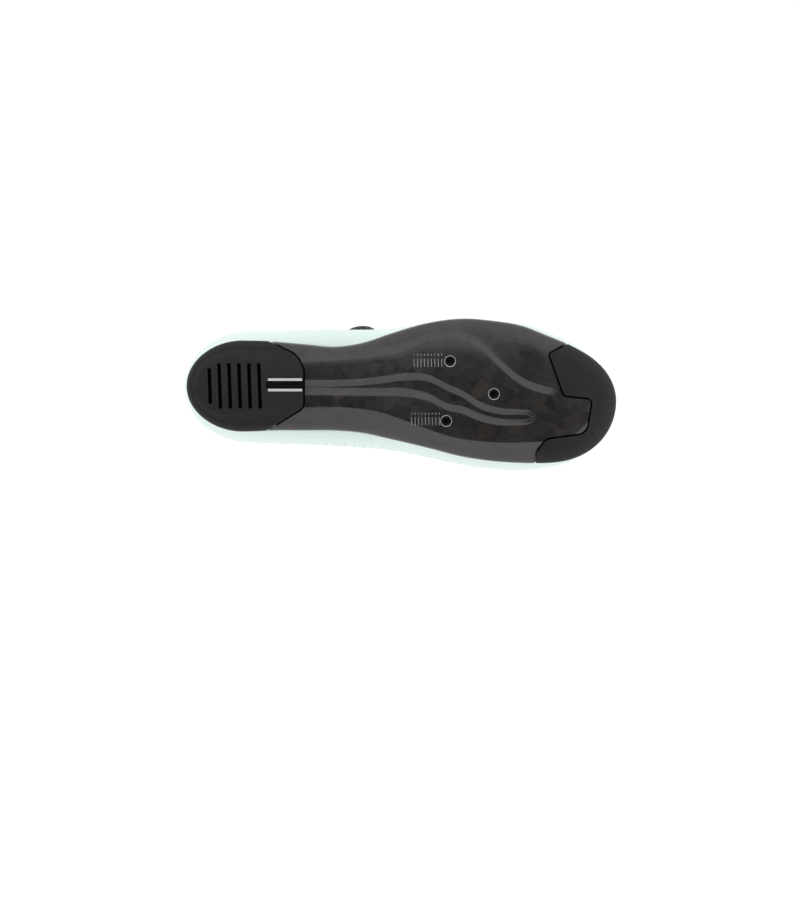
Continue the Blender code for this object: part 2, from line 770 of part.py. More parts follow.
def cut_tread(pad):
    """The heel tread's slots, and the trough that carries the plate's channel on to the heel."""
    for k in range(TREAD_SLOTS):
        half = SLOT_HALF_FIRST if k == 0 else SLOT_HALF
        middle = Vector((SLOT_FIRST + k * SLOT_PITCH, -PAD_AXIS, 0))
        size = (SLOT_WIDTH / 2, half, SLOT_DEPTH)
        boolean(pad, box_cutter(f"slot_{k + 1}", middle, size, -SLOT_SLANT))
    made = bmesh.new()
    length = HEEL_SEAM[2].at * LENGTH - TROUGH_FROM + 4 * MM
    sides = 12
    profile = []
    for k in range(1, sides):
        angle = math.pi * k / sides
        profile.append((TROUGH_HALF * math.cos(angle), TROUGH_DEPTH * math.sin(angle)))
    profile = [(TROUGH_HALF + 0.6 * MM, -2 * MM), *profile, (-TROUGH_HALF - 0.6 * MM, -2 * MM)]
    near = new_row(made, [(TROUGH_FROM, -PAD_AXIS - 0.6 * MM + y, z) for y, z in profile])
    far = new_row(made, [(TROUGH_FROM + length, -PAD_AXIS - 0.6 * MM + y, z) for y, z in profile])
    skin(made, [near, far])
    made.faces.new(near)
    made.faces.new(far)
    boolean(pad, finished("trough", made))


def bolt_places():
    """Where the three inserts stand on the platform, in the sole's plan."""
    turned = Matrix.Rotation(CLEAT_TURN, 2)
    rear = Vector((BOLT_REAR, 0))
    return {
        "insert_lateral": rear + turned @ Vector((0, -BOLT_WIDTH / 2)),
        "insert_medial": rear + turned @ Vector((0, BOLT_WIDTH / 2)),
        "insert_front": rear + turned @ Vector((BOLT_REACH, 0)),
    }


def tube_mesh(made, radius, low, high, sides, middle):
    rows = []
    for z in (low, high):
        angles = [2 * math.pi * k / sides for k in range(sides)]
        rows.append(
            new_row(made, [(middle.x + radius * math.cos(a), middle.y + radius * math.sin(a), z) for a in angles])
        )
    return rows


def insert(name, middle):
    """A steel threaded bush, flush with the platform."""
    sides = 20
    made = bmesh.new()
    outer = tube_mesh(made, INSERT_RADIUS, 0, INSERT_DEPTH, sides, middle)
    inner = tube_mesh(made, INSERT_BORE, 0, INSERT_DEPTH, sides, middle)
    skin(made, [outer[0], outer[1], inner[1], inner[0], outer[0]])
    return finished(name, made, "steel")


def insert_seat(name, middle):
    made = bmesh.new()
    rows = tube_mesh(made, INSERT_RADIUS + CLEARANCE, -2 * MM, 3 * PLATE_THICK, 20, middle)
    skin(made, rows)
    made.faces.new(rows[0])
    made.faces.new(rows[1])
    return finished(name, made)


def sole():
    """Plate, pads and inserts, with the seats that each leaves in the next."""
    plate = plate_body()
    core_form = core("core", 0.0)
    core_grown = core("core_grown", CLEARANCE)
    heel_line = round_corners(HEEL_SEAM)
    toe_line = round_corners(TOE_SEAM)
    for pad, line, end_at, towards_heel in (
        (heel_pad(), heel_line, -0.2 * LENGTH, 1),
        (toe_pad(), toe_line, 1.2 * LENGTH, -1),
    ):
        seat = seam_prism(pad.name + "_seat", line, end_at)
        boolean(seat, core_form)
        boolean(plate, seat)
        kept = seam_prism(pad.name + "_kept", moved_seam(line, towards_heel * CLEARANCE), end_at)
        boolean(pad, kept, "INTERSECT")
        boolean(pad, core_grown)
        weld(pad)
        if pad.name == "heel_pad":
            cut_tread(pad)
    for name, middle in bolt_places().items():
        boolean(plate, insert_seat(name + "_seat", middle))
        insert(name, middle)


def shell(name, outer, inner, rim=None, finish=None):
    """A hollow wall between two grids, open at the topline and underneath."""
    made = bmesh.new()
    rows = [new_row(made, outer[:, k]) for k in range(outer.shape[1])]
    if rim is not None:
        rows.append(new_row(made, rim))
    rows += [new_row(made, inner[:, k]) for k in reversed(range(inner.shape[1]))]
    skin(made, [*rows, rows[0]])
    return finished(name, made, finish)


def upper(wall):
    """One hollow wall with its round padded collar, its throat, and the sole's opening underneath."""
    thick = wall.thickness()
    return shell("upper", wall.points, wall.offset(thick), wall.rim(0.3 * thick[:, -1]), "mint_shell")


def tongue(wall, skin_tree):
    """A padded sheet under the throat: its wings lie against the upper's inside, its top stands above it."""
    depth = WALL + CLEARANCE
    thick = wall.thickness()
    stations = np.linspace(0.413 * LENGTH, THROAT_END - 8 * MM, 11)
    levels = (0.80, 0.90, 1.0)
    sections = []
    for x in stations:
        wings = {}
        for side in (1, -1):
            mine = []
            for level in levels:
                skin_point, normal = wall.at_topline(x, side, level)
                pad = np.interp(x, np.sort(wall.top_at), thick[np.argsort(wall.top_at), -1])
                mine.append(skin_point - normal * (max(depth, pad + CLEARANCE) + 0.1 * MM))
            wings[side] = mine
        lateral, medial = wings[1], wings[-1]
        lift = Vector((0, 0, TONGUE_DOME))
        crown = [lateral[-1].lerp(medial[-1], t) + lift * 4 * t * (1 - t) for t in (0.25, 0.5, 0.75)]
        sections.append([*lateral, *crown, *reversed(medial)])
    first, second = sections[0], sections[2]
    up = sum(((a - b) for a, b in zip(first, second)), Vector()).normalized()
    middle = sum(first, Vector()) / len(first)
    top = []
    for share, narrow in ((1.0, 0.53), (0.88, 0.66), (0.70, 0.75), (0.46, 0.81), (0.22, 0.87)):
        rise = Vector((0, 0, TONGUE_LIFT * share**2))
        row = [middle.lerp(p, narrow) + up * TONGUE_TOP * share + rise for p in first]
        for _ in range(round(8 * share)):
            row = [row[0], *[(a + 2 * p + b) / 4 for a, p, b in zip(row, row[1:], row[2:])], row[-1]]
        top.append(row)
    last, ahead = sections[-1], sections[-2]
    forward = sum(((a - b) for a, b in zip(last, ahead)), Vector()).normalized()
    toe = []
    for share in (0.5, 1.0):
        toe.append([p + forward * TONGUE_TOE * share - Vector((0, 0, 0.9 * MM * share)) for p in last])
    sections = [*top, *sections, *toe]
    for section in sections:
        inside = sum(section, Vector()) / len(section) - Vector((0, 0, TONGUE_TOP))
        for k in range(len(section)):
            for _ in range(8):
                there, away, _, _ = skin_tree.find_nearest(section[k])
                short = 4 * CLEARANCE - (section[k] - there).dot(away)
                if short > 0:
                    section[k] = section[k] + (inside - section[k]).normalized() * min(short, 1 * MM)
    grid = np.array([[list(p) for p in section] for section in sections])
    along = np.gradient(grid, axis=0)
    across = np.gradient(grid, axis=1)
    normal = np.cross(along, across)
    normal /= np.linalg.norm(normal, axis=2)[:, :, None]
    normal *= np.sign(normal[:, :, 2].sum())
    for _ in range(3):
        for axis in (0, 1):
            edged = np.pad(normal, [(1, 1) if k == axis else (0, 0) for k in range(3)], mode="edge")
            ahead = np.delete(edged, (0, 1), axis=axis)
            behind = np.delete(edged, (-2, -1), axis=axis)
            normal = 2 * normal + ahead + behind
            normal /= np.linalg.norm(normal, axis=2)[:, :, None]
    below = grid - normal * TONGUE_THICK
    made = bmesh.new()
    high = [new_row(made, row) for row in grid]
    low = [new_row(made, row) for row in below]
    skin(made, high, closed=False)
    skin(made, low, closed=False)
    for a, b in ((high[0], low[0]), (high[-1], low[-1])):
        skin(made, [a, b], closed=False)
    for edge in (0, -1):
        skin(made, [[row[edge] for row in high], [row[edge] for row in low]], closed=False)
    return finished("tongue", made, "tongue_fabric")


def insole():
    """A foam footbed in the plate's tray, a little higher than the plate's ledge."""

    def over_bed(rise):
        return lambda x, side: LAST.bed(x) + rise

    edge = LEDGE + 2 * CLEARANCE
    floor_gap = 1.6 * CLEARANCE
    lower = [
        (edge + PLATE_SHOULDER + 1.4 * MM, over_bed(floor_gap)),
        (edge + 1.4 * MM, over_bed(floor_gap + 1.3 * MM)),
        (edge, over_bed(floor_gap + 1.9 * MM)),
    ]
    upper_rings = [
        (edge, over_bed(INSOLE_THICK + 1.2 * MM)),
        (edge + 3 * MM, over_bed(INSOLE_THICK)),
    ]
    floor = even_rungs(2, lambda x: float(LAST.bed(x)) + floor_gap)
    top = even_rungs(2, lambda x: float(LAST.bed(x)) + INSOLE_THICK)
    return slab("insole", INSOLE_STATIONS, lower, floor, upper_rings, top, "insole_foam")


def frame_on(point, normal, along):
    """Axes for a piece on the skin: its z along the normal, its x as near along as it can be."""
    z = normal.normalized()
    y = z.cross(along).normalized()
    x = y.cross(z)
    return Matrix.Translation(point) @ Matrix((x, y, z)).transposed().to_4x4()


def dial(skin_tree, skin_cutter):
    """The lace dial on the lateral side of the instep: a base shaped to the upper, and a knurled knob."""
    point, normal, _, _ = skin_tree.ray_cast(Vector((DIAL_AT, -LENGTH, DIAL_UP)), Vector((0, 1, 0)))
    seat = frame_on(point, normal, Vector((1, 0, 0)))
    made = bmesh.new()
    sides = 32
    rows = []
    for radius, z in (
        (DIAL_BASE_RADIUS, -5 * MM),
        (DIAL_BASE_RADIUS, DIAL_BASE_HEIGHT - 1 * MM),
        (DIAL_BASE_RADIUS - 1 * MM, DIAL_BASE_HEIGHT),
    ):
        angles = [2 * math.pi * k / sides for k in range(sides)]
        rows.append(new_row(made, [(radius * math.cos(a), radius * math.sin(a), z) for a in angles]))
    skin(made, rows)
    made.faces.new(rows[0])
    made.faces.new(rows[-1])
    made.transform(seat)
    base = finished("dial_base", made, "dial_plastic")
    boolean(base, skin_cutter)
    made = bmesh.new()
    low = DIAL_BASE_HEIGHT + CLEARANCE
    rows = []
    for radius, z, tooth in (
        (DIAL_RADIUS - 0.8 * MM, low, 0.0),
        (DIAL_RADIUS, low + 0.8 * MM, DIAL_TOOTH),
        (DIAL_RADIUS, low + DIAL_HEIGHT - 2 * MM, DIAL_TOOTH),
        (DIAL_RADIUS - 1.2 * MM, low + DIAL_HEIGHT - 0.4 * MM, 0.0),
        (DIAL_RADIUS - 4 * MM, low + DIAL_HEIGHT, 0.0),
    ):
        count = 2 * DIAL_TEETH
        ring = []
        for k in range(count):
            angle = 2 * math.pi * k / count
            reach = radius - tooth * (k % 2)
            ring.append((reach * math.cos(angle), reach * math.sin(angle), z))
        rows.append(new_row(made, ring))
    skin(made, rows)
    made.faces.new(rows[0])
    made.faces.new(rows[-1])
    made.transform(seat)
    finished("dial_knob", made, "dial_plastic")
    return seat


def guide_seat(wall, x, side):
    """Frame of a lace guide near the throat's edge: x along the throat, z out of the skin."""
    point, normal = wall.below_edge(x, side, GUIDE_SET_IN)
    ahead, _ = wall.below_edge(x + 5 * MM, side, GUIDE_SET_IN)
    return frame_on(point, normal, ahead - point)


GUIDE_CORD_HEIGHT = 1.9 * MM


def guide(name, seat, skin_cutter):
    """A loop of webbing that the lace runs through, along the throat."""
    made = bmesh.new()
    outline = [
        (GUIDE_HALF, -1.2 * MM),
        (GUIDE_HALF, 0.6 * MM),
        (0.6 * GUIDE_HALF, GUIDE_HEIGHT - 0.5 * MM),
        (0.25 * GUIDE_HALF, GUIDE_HEIGHT),
        (-0.25 * GUIDE_HALF, GUIDE_HEIGHT),
        (-0.6 * GUIDE_HALF, GUIDE_HEIGHT - 0.5 * MM),
        (-GUIDE_HALF, 0.6 * MM),
        (-GUIDE_HALF, -1.2 * MM),
    ]
    rows = [new_row(made, [(x, y, z) for y, z in outline]) for x in (-GUIDE_LENGTH / 2, GUIDE_LENGTH / 2)]
    skin(made, rows)
    made.faces.new(rows[0])
    made.faces.new(rows[1])
    made.transform(seat)
    loop = finished(name, made, "guide_webbing")
    made = bmesh.new()
    sides = 10
    rows = []
    for x in (-GUIDE_LENGTH, GUIDE_LENGTH):
        angles = [2 * math.pi * k / sides for k in range(sides)]
        rows.append(
            new_row(
                made,
                [(x, GUIDE_HOLE * math.cos(a), GUIDE_CORD_HEIGHT + GUIDE_HOLE * math.sin(a)) for a in angles],
            )
        )
    skin(made, rows)
    made.faces.new(rows[0])
    made.faces.new(rows[1])
    made.transform(seat)
    boolean(loop, finished(name + "_hole", made))
    boolean(loop, skin_cutter)
    return loop


LACE_HANDLE = 4 * MM
LACE_TAIL = 1.2 * MM


def surface(thing):
    mesh = bmesh.new()
    mesh.from_mesh(thing.data)
    tree = BVHTree.FromBMesh(mesh)
    mesh.free()
    return tree


def rest_on(points, held, skins, gap):
    """Raise the points that aren't held until they clear the skins below by gap, keeping the run smooth."""
    down = Vector((0, 0, -1))
    beside = [Vector((gap * i, gap * j, LENGTH)) for i, j in ((0, 0), (1, 0), (-1, 0), (0, 1), (0, -1))]
    for _ in range(12):
        for i in range(1, len(points) - 1):
            if not held[i]:
                points[i] = 0.5 * points[i] + 0.25 * (points[i - 1] + points[i + 1])
        for i, point in enumerate(points):
            if held[i]:
                continue
            for tree in skins:
                for aside in beside:
                    there, normal, _, _ = tree.ray_cast(point + aside, down)
                    if there is not None:
                        share = 1 / max(normal.z, 0.5) if aside.x == aside.y else 0.6
                        points[i].z = max(points[i].z, there.z + gap * share)
    return points


def lace(dial_seat, seats, skins):
    """The lace from the dial through the guides in turn, from side to side down the throat."""
    run = GUIDE_LENGTH / 2 + LACE_TAIL
    height = GUIDE_CORD_HEIGHT
    points, held = [], []
    start = dial_seat @ Vector((0.4 * DIAL_RADIUS, DIAL_BASE_RADIUS + 2 * CLEARANCE, 1.8 * MM))
    handle = dial_seat @ Vector((0.4 * DIAL_RADIUS, DIAL_BASE_RADIUS + 12 * MM, 7 * MM))
    steps = 12
    for k, seat in enumerate(seats):
        enter = seat @ Vector((-run, 0, height))
        enter_from = seat @ Vector((-run - LACE_HANDLE, 0, height + 0.6 * MM))
        for step in range(steps):
            points.append(bezier(start, handle, enter_from, enter, step / steps))
            held.append(step == 0)
        points.append(enter)
        held.append(True)
        if k == len(seats) - 1:
            points.append(seat @ Vector((GUIDE_LENGTH / 2 - 2 * MM, 0, height)))
            held.append(True)
        else:
            start = seat @ Vector((run, 0, height))
            handle = seat @ Vector((run + LACE_HANDLE, 0, height + 0.6 * MM))
    points = rest_on(points, held, skins, LACE_RADIUS + 3 * CLEARANCE)
    curve = bpy.data.curves.new("lace", "CURVE")
    curve.dimensions = "3D"
    curve.bevel_depth = LACE_RADIUS
    curve.bevel_resolution = 1
    curve.use_fill_caps = True
    spline = curve.splines.new("POLY")
    spline.points.add(len(points) - 1)
    for there, point in zip(spline.points, points):
        there.co = (*point, 1)
    curve.materials.append(material("lace_cord"))
    thing = bpy.data.objects.new("lace", curve)
    bpy.context.scene.collection.objects.link(thing)
    return thing


def lie_down(things):
    """Lay the shoe on its lateral side, on the hull face facing that way that its weight rests on."""
    graph = bpy.context.evaluated_depsgraph_get()
    hull = bmesh.new()
    weight, moment = 0.0, Vector()
    for thing in things:
        if thing.hide_render:
            continue
        mesh = bpy.data.meshes.new_from_object(thing.evaluated_get(graph))
        mesh.transform(thing.matrix_world)
        solid = bmesh.new()
        solid.from_mesh(mesh)
        density = FINISHES[mesh.materials[0].name].density
        volume = abs(solid.calc_volume(signed=True))
        centre = centroid(solid)
        weight += density * volume
        moment += density * volume * centre
        solid.free()
        hull.from_mesh(mesh)
        bpy.data.meshes.remove(mesh)
    loose = bmesh.ops.convex_hull(hull, input=hull.verts)
    bmesh.ops.delete(hull, geom=[v for v in loose["geom_interior"] if isinstance(v, bmesh.types.BMVert)], context="VERTS")
    balance = moment / weight
    lateral = Vector((0, -1, 0))
    best, down = -1.0, lateral
    for face in hull.faces:
        if len(face.verts) != 3:
            continue
        a, b, c = (v.co for v in face.verts)
        normal = (b - a).cross(c - a)
        if normal.length < 1e-12:
            continue
        normal.normalize()
        if normal.dot(a - balance) < 0:
            normal.negate()
        foot = balance + normal * normal.dot(a - balance)
        if intersect_point_tri(foot, a, b, c) is not None and normal.dot(lateral) > best:
            best, down = normal.dot(lateral), normal.copy()
    hull.free()
    z = -down
    x = Vector((-1, 0, 0))
    x = (x - z * x.dot(z)).normalized()
    turn = Matrix((x, z.cross(x), z)).to_4x4()
    corners = [turn @ v for v in all_points(things, graph)]
    low = Vector([min(c[k] for c in corners) for k in range(3)])
    high = Vector([max(c[k] for c in corners) for k in range(3)])
    shift = Vector((-(low.x + high.x) / 2, -(low.y + high.y) / 2, -low.z))
    lying = bpy.data.objects.new("lying_shoe", None)
    bpy.context.scene.collection.objects.link(lying)
    lying.matrix_world = Matrix.Translation(shift) @ turn
    for thing in things:
        thing.parent = lying
    return lying


def centroid(solid):
    """Centre of volume of a closed bmesh."""
    total, moment = 0.0, Vector()
    for corners in solid.calc_loop_triangles():
        a, b, c = (corner.vert.co for corner in corners)
        volume = a.dot(b.cross(c)) / 6
        total += volume
        moment += (a + b + c) * volume / 4
    return moment / total


def all_points(things, graph):
    for thing in things:
        if thing.hide_render:
            continue
        mesh = bpy.data.meshes.new_from_object(thing.evaluated_get(graph))
        for vertex in mesh.vertices:
            yield thing.matrix_world @ vertex.co
        bpy.data.meshes.remove(mesh)


def main():
    clear_scene()
    wall = Wall(UPPER_STATIONS)
    sole()
    shell_made = upper(wall)
    insole()
    skin_tree = surface(shell_made)
    tongue_made = tongue(wall, skin_tree)
    skin_cutter = shell("skin_cutter", wall.offset(-CLEARANCE), wall.offset(7 * MM), wall.rim(3 * MM))
    dial_seat = dial(skin_tree, skin_cutter)
    seats = []
    for k, (medial, lateral) in enumerate(zip(GUIDES_MEDIAL, GUIDES_LATERAL)):
        for side, place, word in ((-1, medial, "medial"), (1, lateral, "lateral")):
            seat = guide_seat(wall, place, side)
            guide(f"guide_{word}_{k + 1}", seat, skin_cutter)
            seats.append(seat)
    lace(dial_seat, seats, [skin_tree, surface(tongue_made)])
    bpy.context.view_layer.update()
    lie_down(list(bpy.data.objects))


main()
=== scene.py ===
# %% [markdown]
# # A road cycling shoe, seen from beneath
# This lesson dresses a right cycling shoe: a black plate of chopped carbon, rubber pads at heel and toe,
# and a pale mint upper. The solids of the shoe come from a frame that is already packed. We could scale and
# move our meshes by eye until they fit it, but we load the frame first and build on its own measures
# instead.

# %% Load the frame
import json
import math
from collections import namedtuple

import bmesh
import bpy
import numpy as np
from mathutils import Matrix, Vector
from mathutils.bvhtree import BVHTree


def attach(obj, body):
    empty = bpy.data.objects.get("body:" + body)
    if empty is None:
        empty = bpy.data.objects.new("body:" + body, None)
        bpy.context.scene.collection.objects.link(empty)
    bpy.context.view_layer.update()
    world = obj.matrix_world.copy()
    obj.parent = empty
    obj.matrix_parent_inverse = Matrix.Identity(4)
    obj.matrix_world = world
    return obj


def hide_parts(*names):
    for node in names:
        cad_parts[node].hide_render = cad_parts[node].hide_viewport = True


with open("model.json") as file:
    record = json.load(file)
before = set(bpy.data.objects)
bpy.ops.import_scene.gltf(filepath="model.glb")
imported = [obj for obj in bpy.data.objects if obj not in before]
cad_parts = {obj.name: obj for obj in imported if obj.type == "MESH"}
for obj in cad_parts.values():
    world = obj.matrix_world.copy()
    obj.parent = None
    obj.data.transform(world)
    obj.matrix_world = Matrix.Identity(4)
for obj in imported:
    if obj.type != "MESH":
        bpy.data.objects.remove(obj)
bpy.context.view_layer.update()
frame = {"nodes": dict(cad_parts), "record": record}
MM = 0.001
print("solids in the frame:", len(frame["nodes"]))

# %% [markdown]
# ## The shoe's own axes
# The shoe lies on its outer side. It is far easier to model while it stands, with x from heel to toe, y to
# the inner side and z up. We could model it lying, but then every height would be slanted. Two flat spots
# that the frame names, one under the ball and one under the heel, tell us how the standing shoe was laid
# down, so one matrix carries each finished piece to its place.

# %% The shoe's own axes
CLEAT_SPOT = Vector((186, -12, 0)) * MM
HEEL_SPOT = Vector((39.6, -3.3, 0)) * MM


def axes(along, up):
    x = (along - up * along.dot(up)).normalized()
    return Matrix((x, up.cross(x), up)).transposed()


mounts = {mount["name"]: mount for mount in frame["record"]["mounts"]}
cleat = Vector(mounts["cleat_platform"]["pos_m"])
heel = Vector(mounts["heel_tread"]["pos_m"])
sole_up = -Vector(mounts["cleat_platform"]["axis"]).normalized()
turn = axes(cleat - heel, sole_up) @ axes(CLEAT_SPOT - HEEL_SPOT, Vector((0, 0, 1))).transposed()
SHOE = Matrix.Translation(cleat) @ turn.to_4x4() @ Matrix.Translation(-CLEAT_SPOT)
print("the sole leans", round(math.degrees(math.asin(sole_up.z)), 2), "degrees")

# %% [markdown]
# ## Driving sizes and tables
# A shoe grows out of a few sizes: its length, the width at the ball, the height at the instep. Everything
# else can be a share of those. Each table has a row for a place along the shoe, counted from the heel as a
# share of the length. Widths are shares of the ball's width, and "centre" leans to the outer side where it
# is positive.

# %% Driving sizes and tables
def table(columns, *rows):
    """Rows of numbers whose columns have names."""
    return tuple(map(namedtuple("Row", columns)._make, rows))


LENGTH = 280 * MM
BALL_WIDTH = 93.4 * MM
INSTEP_HEIGHT = 92 * MM
BULGE_HEIGHT = 43 * MM

SOLE_OUTLINE = table(
    "at centre lateral medial",
    (0.000, 0.036, 0.315, 0.313),
    (0.140, 0.036, 0.315, 0.313),
    (0.215, 0.036, 0.308, 0.305),
    (0.285, 0.032, 0.294, 0.301),
    (0.350, 0.026, 0.285, 0.296),
    (0.410, 0.020, 0.316, 0.306),
    (0.480, 0.014, 0.390, 0.346),
    (0.565, 0.007, 0.468, 0.400),
    (0.643, 0.002, 0.501, 0.454),
    (0.714, -0.007, 0.495, 0.476),
    (0.786, -0.022, 0.471, 0.474),
    (0.840, -0.034, 0.423, 0.463),
    (0.893, -0.045, 0.399, 0.464),
    (1.000, -0.062, 0.399, 0.476),
)

# Lines moulded into the plate: the lateral bevel, the channel with its floor, and the platform's medial edge
PLATE_RELIEF = table(
    "at bevel channel half floor edge",
    (0.000, 0.150, 0.028, 0.050, 0.004, -0.110),
    (0.275, 0.228, 0.028, 0.050, 0.004, -0.110),
    (0.385, 0.250, 0.028, 0.054, 0.008, -0.112),
    (0.455, 0.272, 0.036, 0.066, 0.018, -0.146),
    (0.500, 0.298, 0.045, 0.077, 0.026, -0.193),
    (0.568, 0.371, 0.018, 0.090, 0.044, -0.268),
    (0.607, 0.389, -0.040, 0.089, 0.045, -0.308),
    (0.645, 0.375, -0.079, 0.078, 0.031, -0.334),
    (0.682, 0.320, -0.138, 0.066, 0.018, -0.347),
    (0.728, 0.192, -0.175, 0.058, 0.017, -0.356),
    (0.775, 0.076, -0.180, 0.052, 0.020, -0.356),
    (0.822, 0.016, -0.178, 0.040, 0.018, -0.350),
    (0.880, -0.010, -0.178, 0.030, 0.010, -0.340),
    (1.000, -0.020, -0.120, 0.010, 0.002, -0.250),
)
print("rows:", len(SOLE_OUTLINE), "of outline,", len(PLATE_RELIEF), "of relief")

# %% [markdown]
# A table only knows a few places. Between them a smooth curve has to run, or the sole would be a polygon.
# We could use Blender's curve objects, but a cubic through the rows is a few lines of numpy, and it can be
# asked for any place at once.

# %% Smooth curves through a table
def through(rows, name):
    """A smooth function of "at" that runs through one column of a table."""
    at_rows = np.array([row.at for row in rows])
    values = np.array([getattr(row, name) for row in rows], float)
    slopes = np.gradient(values, at_rows)

    def value(at):
        at = np.clip(at, at_rows[0], at_rows[-1])
        i = np.clip(np.searchsorted(at_rows, at, side="right") - 1, 0, len(at_rows) - 2)
        span = at_rows[i + 1] - at_rows[i]
        t = (at - at_rows[i]) / span
        start = (1 + 2 * t) * (1 - t) ** 2 * values[i] + t * (1 - t) ** 2 * span * slopes[i]
        end = t * t * (3 - 2 * t) * values[i + 1] + t * t * (t - 1) * span * slopes[i + 1]
        return start + end

    return value


def columns(rows):
    """Every column of a table as a smooth function."""
    return rows[0].__class__(*[through(rows, name) for name in rows[0]._fields])


def ease(t):
    """0 to 1 with flat ends."""
    t = np.clip(t, 0, 1)
    return t * t * (3 - 2 * t)


def by_side(side, lateral, medial):
    return np.where(side > 0, lateral, medial)


outline = columns(SOLE_OUTLINE)
print("half width at the ball:", round(float(outline.lateral(0.643)) * BALL_WIDTH / MM, 1), "mm")

# %% [markdown]
# ## The sole's outline
# Seen from beneath, the sole is a closed loop. Its stations stand evenly in the middle and turn with the
# round heel and toe, so no end is left pointed or torn. Each station also gets the direction that faces
# outwards. Rings that are set in along that direction keep an even distance from the edge, as a moulder's
# radius does.

# %% The sole's outline
SOLE_SET_IN = 2 * MM
HEEL_ROUND = 37 * MM
TOE_ROUND = 50 * MM


def stretch(s, first, last, round_first, round_last):
    """Distance along the shoe of section s, from 0 to 1: even in the middle, and turning with a round end."""
    straight = (last - first) - round_first - round_last
    quarter = math.pi / 2
    total = straight + quarter * (round_first + round_last)
    e_first = quarter * round_first / total
    e_last = quarter * round_last / total
    s = np.asarray(s, float)
    near = first + round_first * (1 - np.cos(quarter * np.clip(s / e_first, 0, 1)))
    far = last - round_last * (1 - np.cos(quarter * np.clip((1 - s) / e_last, 0, 1)))
    middle = first + round_first + (s - e_first) * total
    return np.where(s < e_first, near, np.where(s > 1 - e_last, far, middle))


def end_round(x, first, last, round_first, round_last):
    """Share of the full width left at x, where both ends are rounded off."""
    near = np.clip(1 - (x - first) / round_first, 0, 1)
    far = np.clip(1 - (last - x) / round_last, 0, 1)
    return np.sqrt(np.clip(1 - near**2, 0, 1)) * np.sqrt(np.clip(1 - far**2, 0, 1))


def loop_sections(stations):
    """Section and side of each point of a closed loop: up the lateral side, and back down the medial one."""
    up = np.linspace(0, 1, stations + 1)
    s = np.concatenate([up, up[-2:0:-1]])
    side = np.concatenate([np.ones(stations + 1), -np.ones(stations - 1)])
    return s, side


def unit(vectors):
    """The same directions with a length of one."""
    return vectors / np.linalg.norm(vectors, axis=-1, keepdims=True)


def sole_edge(s, side):
    """Plan points of the sole's outline and their outward normals, round a closed loop."""
    ends = (SOLE_SET_IN, LENGTH, HEEL_ROUND, TOE_ROUND)
    x = stretch(s, *ends)
    at = x / LENGTH
    half = by_side(side, outline.lateral(at), outline.medial(at)) * end_round(x, *ends)
    y = -(outline.centre(at) + side * half) * BALL_WIDTH
    plan = np.stack([x, y], axis=1)
    along = np.roll(plan, -1, axis=0) - np.roll(plan, 1, axis=0)
    out = unit(np.stack([-along[:, 1], along[:, 0]], axis=1))
    flip = np.sign(((plan - plan.mean(axis=0)) * out).sum())
    return plan, out * flip


plan, _ = sole_edge(*loop_sections(200))
print("sole:", [round(float(v) / MM, 1) for v in np.ptp(plan, axis=0)], "mm")

# %% [markdown]
# ## The sole's heights
# From the side, the plate stands on the platform under the ball, arches up towards the heel, where a rubber
# tread fills the gap, and springs up at the toe. Three short functions give its underside, its edge and its
# bed, and every piece of the sole reads them.

# %% The sole's heights
HEEL_LAND = 5.5 * MM
TOE_SPRING = 19 * MM
TOE_SPRING_POWER = 1.6
ARCH_FROM = 106 * MM
FLAT_FROM = 164 * MM
FLAT_TO = 207 * MM
WALL_RISE = 9 * MM
WALL_RISE_HEEL = 1 * MM
PLATE_THICK = 5 * MM
CLEARANCE = 0.3 * MM


def heel_share(x):
    return 1 - ease((x - ARCH_FROM) / (FLAT_FROM - ARCH_FROM))


def land(x):
    """Height of the plate's underside: raised at the heel, flat under the ball, sprung at the toe."""
    spring = np.clip((x - FLAT_TO) / (LENGTH - FLAT_TO), 0, 1) ** TOE_SPRING_POWER
    return HEEL_LAND * heel_share(x) + TOE_SPRING * spring


def rim(x):
    """Height of the plate's edge, where the upper sits on it."""
    return land(x) + WALL_RISE + WALL_RISE_HEEL * heel_share(x)


def bed(x):
    return land(x) + PLATE_THICK


print("toe lifts to", round(float(land(LENGTH)) / MM, 1), "mm")

# %% [markdown]
# ## Turning rows of points into meshes
# All the moulded pieces are skins over rows of points, and a few helpers draw them. A slab has rings that
# follow the outline and rungs that close it from side to side. We could start from Blender's cube and push
# it about, but rows keep a straight line between the table and the surface.

# %% Helpers that make meshes
def new_row(made, points):
    return [made.verts.new(Vector(p)) for p in points]


def skin(made, rows, closed=True, material=0):
    """Quads between rows of vertices, each row a closed loop or an open strip."""
    count = len(rows[0])
    for low, high in zip(rows, rows[1:]):
        for i in range(count if closed else count - 1):
            j = (i + 1) % count
            made.faces.new((low[i], low[j], high[j], high[i])).material_index = material


def capped(made, rows):
    """Quads between rows, and a face on the first and the last."""
    skin(made, rows)
    made.faces.new(rows[0])
    made.faces.new(rows[-1])


def box(made, middle, size, turned=0.0):
    """A box about its middle, turned in plan."""
    there = Matrix.Translation(middle) @ Matrix.Rotation(turned, 4, "Z")
    bmesh.ops.create_cube(made, size=1, matrix=there @ Matrix.Diagonal((*size, 1)))


def linked(name, data):
    thing = bpy.data.objects.new(name, data)
    bpy.context.scene.collection.objects.link(thing)
    return thing


def smoothed(piece, sharp=30):
    """The piece shaded smooth, its edges sharp past an angle in degrees."""
    piece.data.shade_smooth()
    piece.data.set_sharp_from_angle(angle=math.radians(sharp))
    return piece


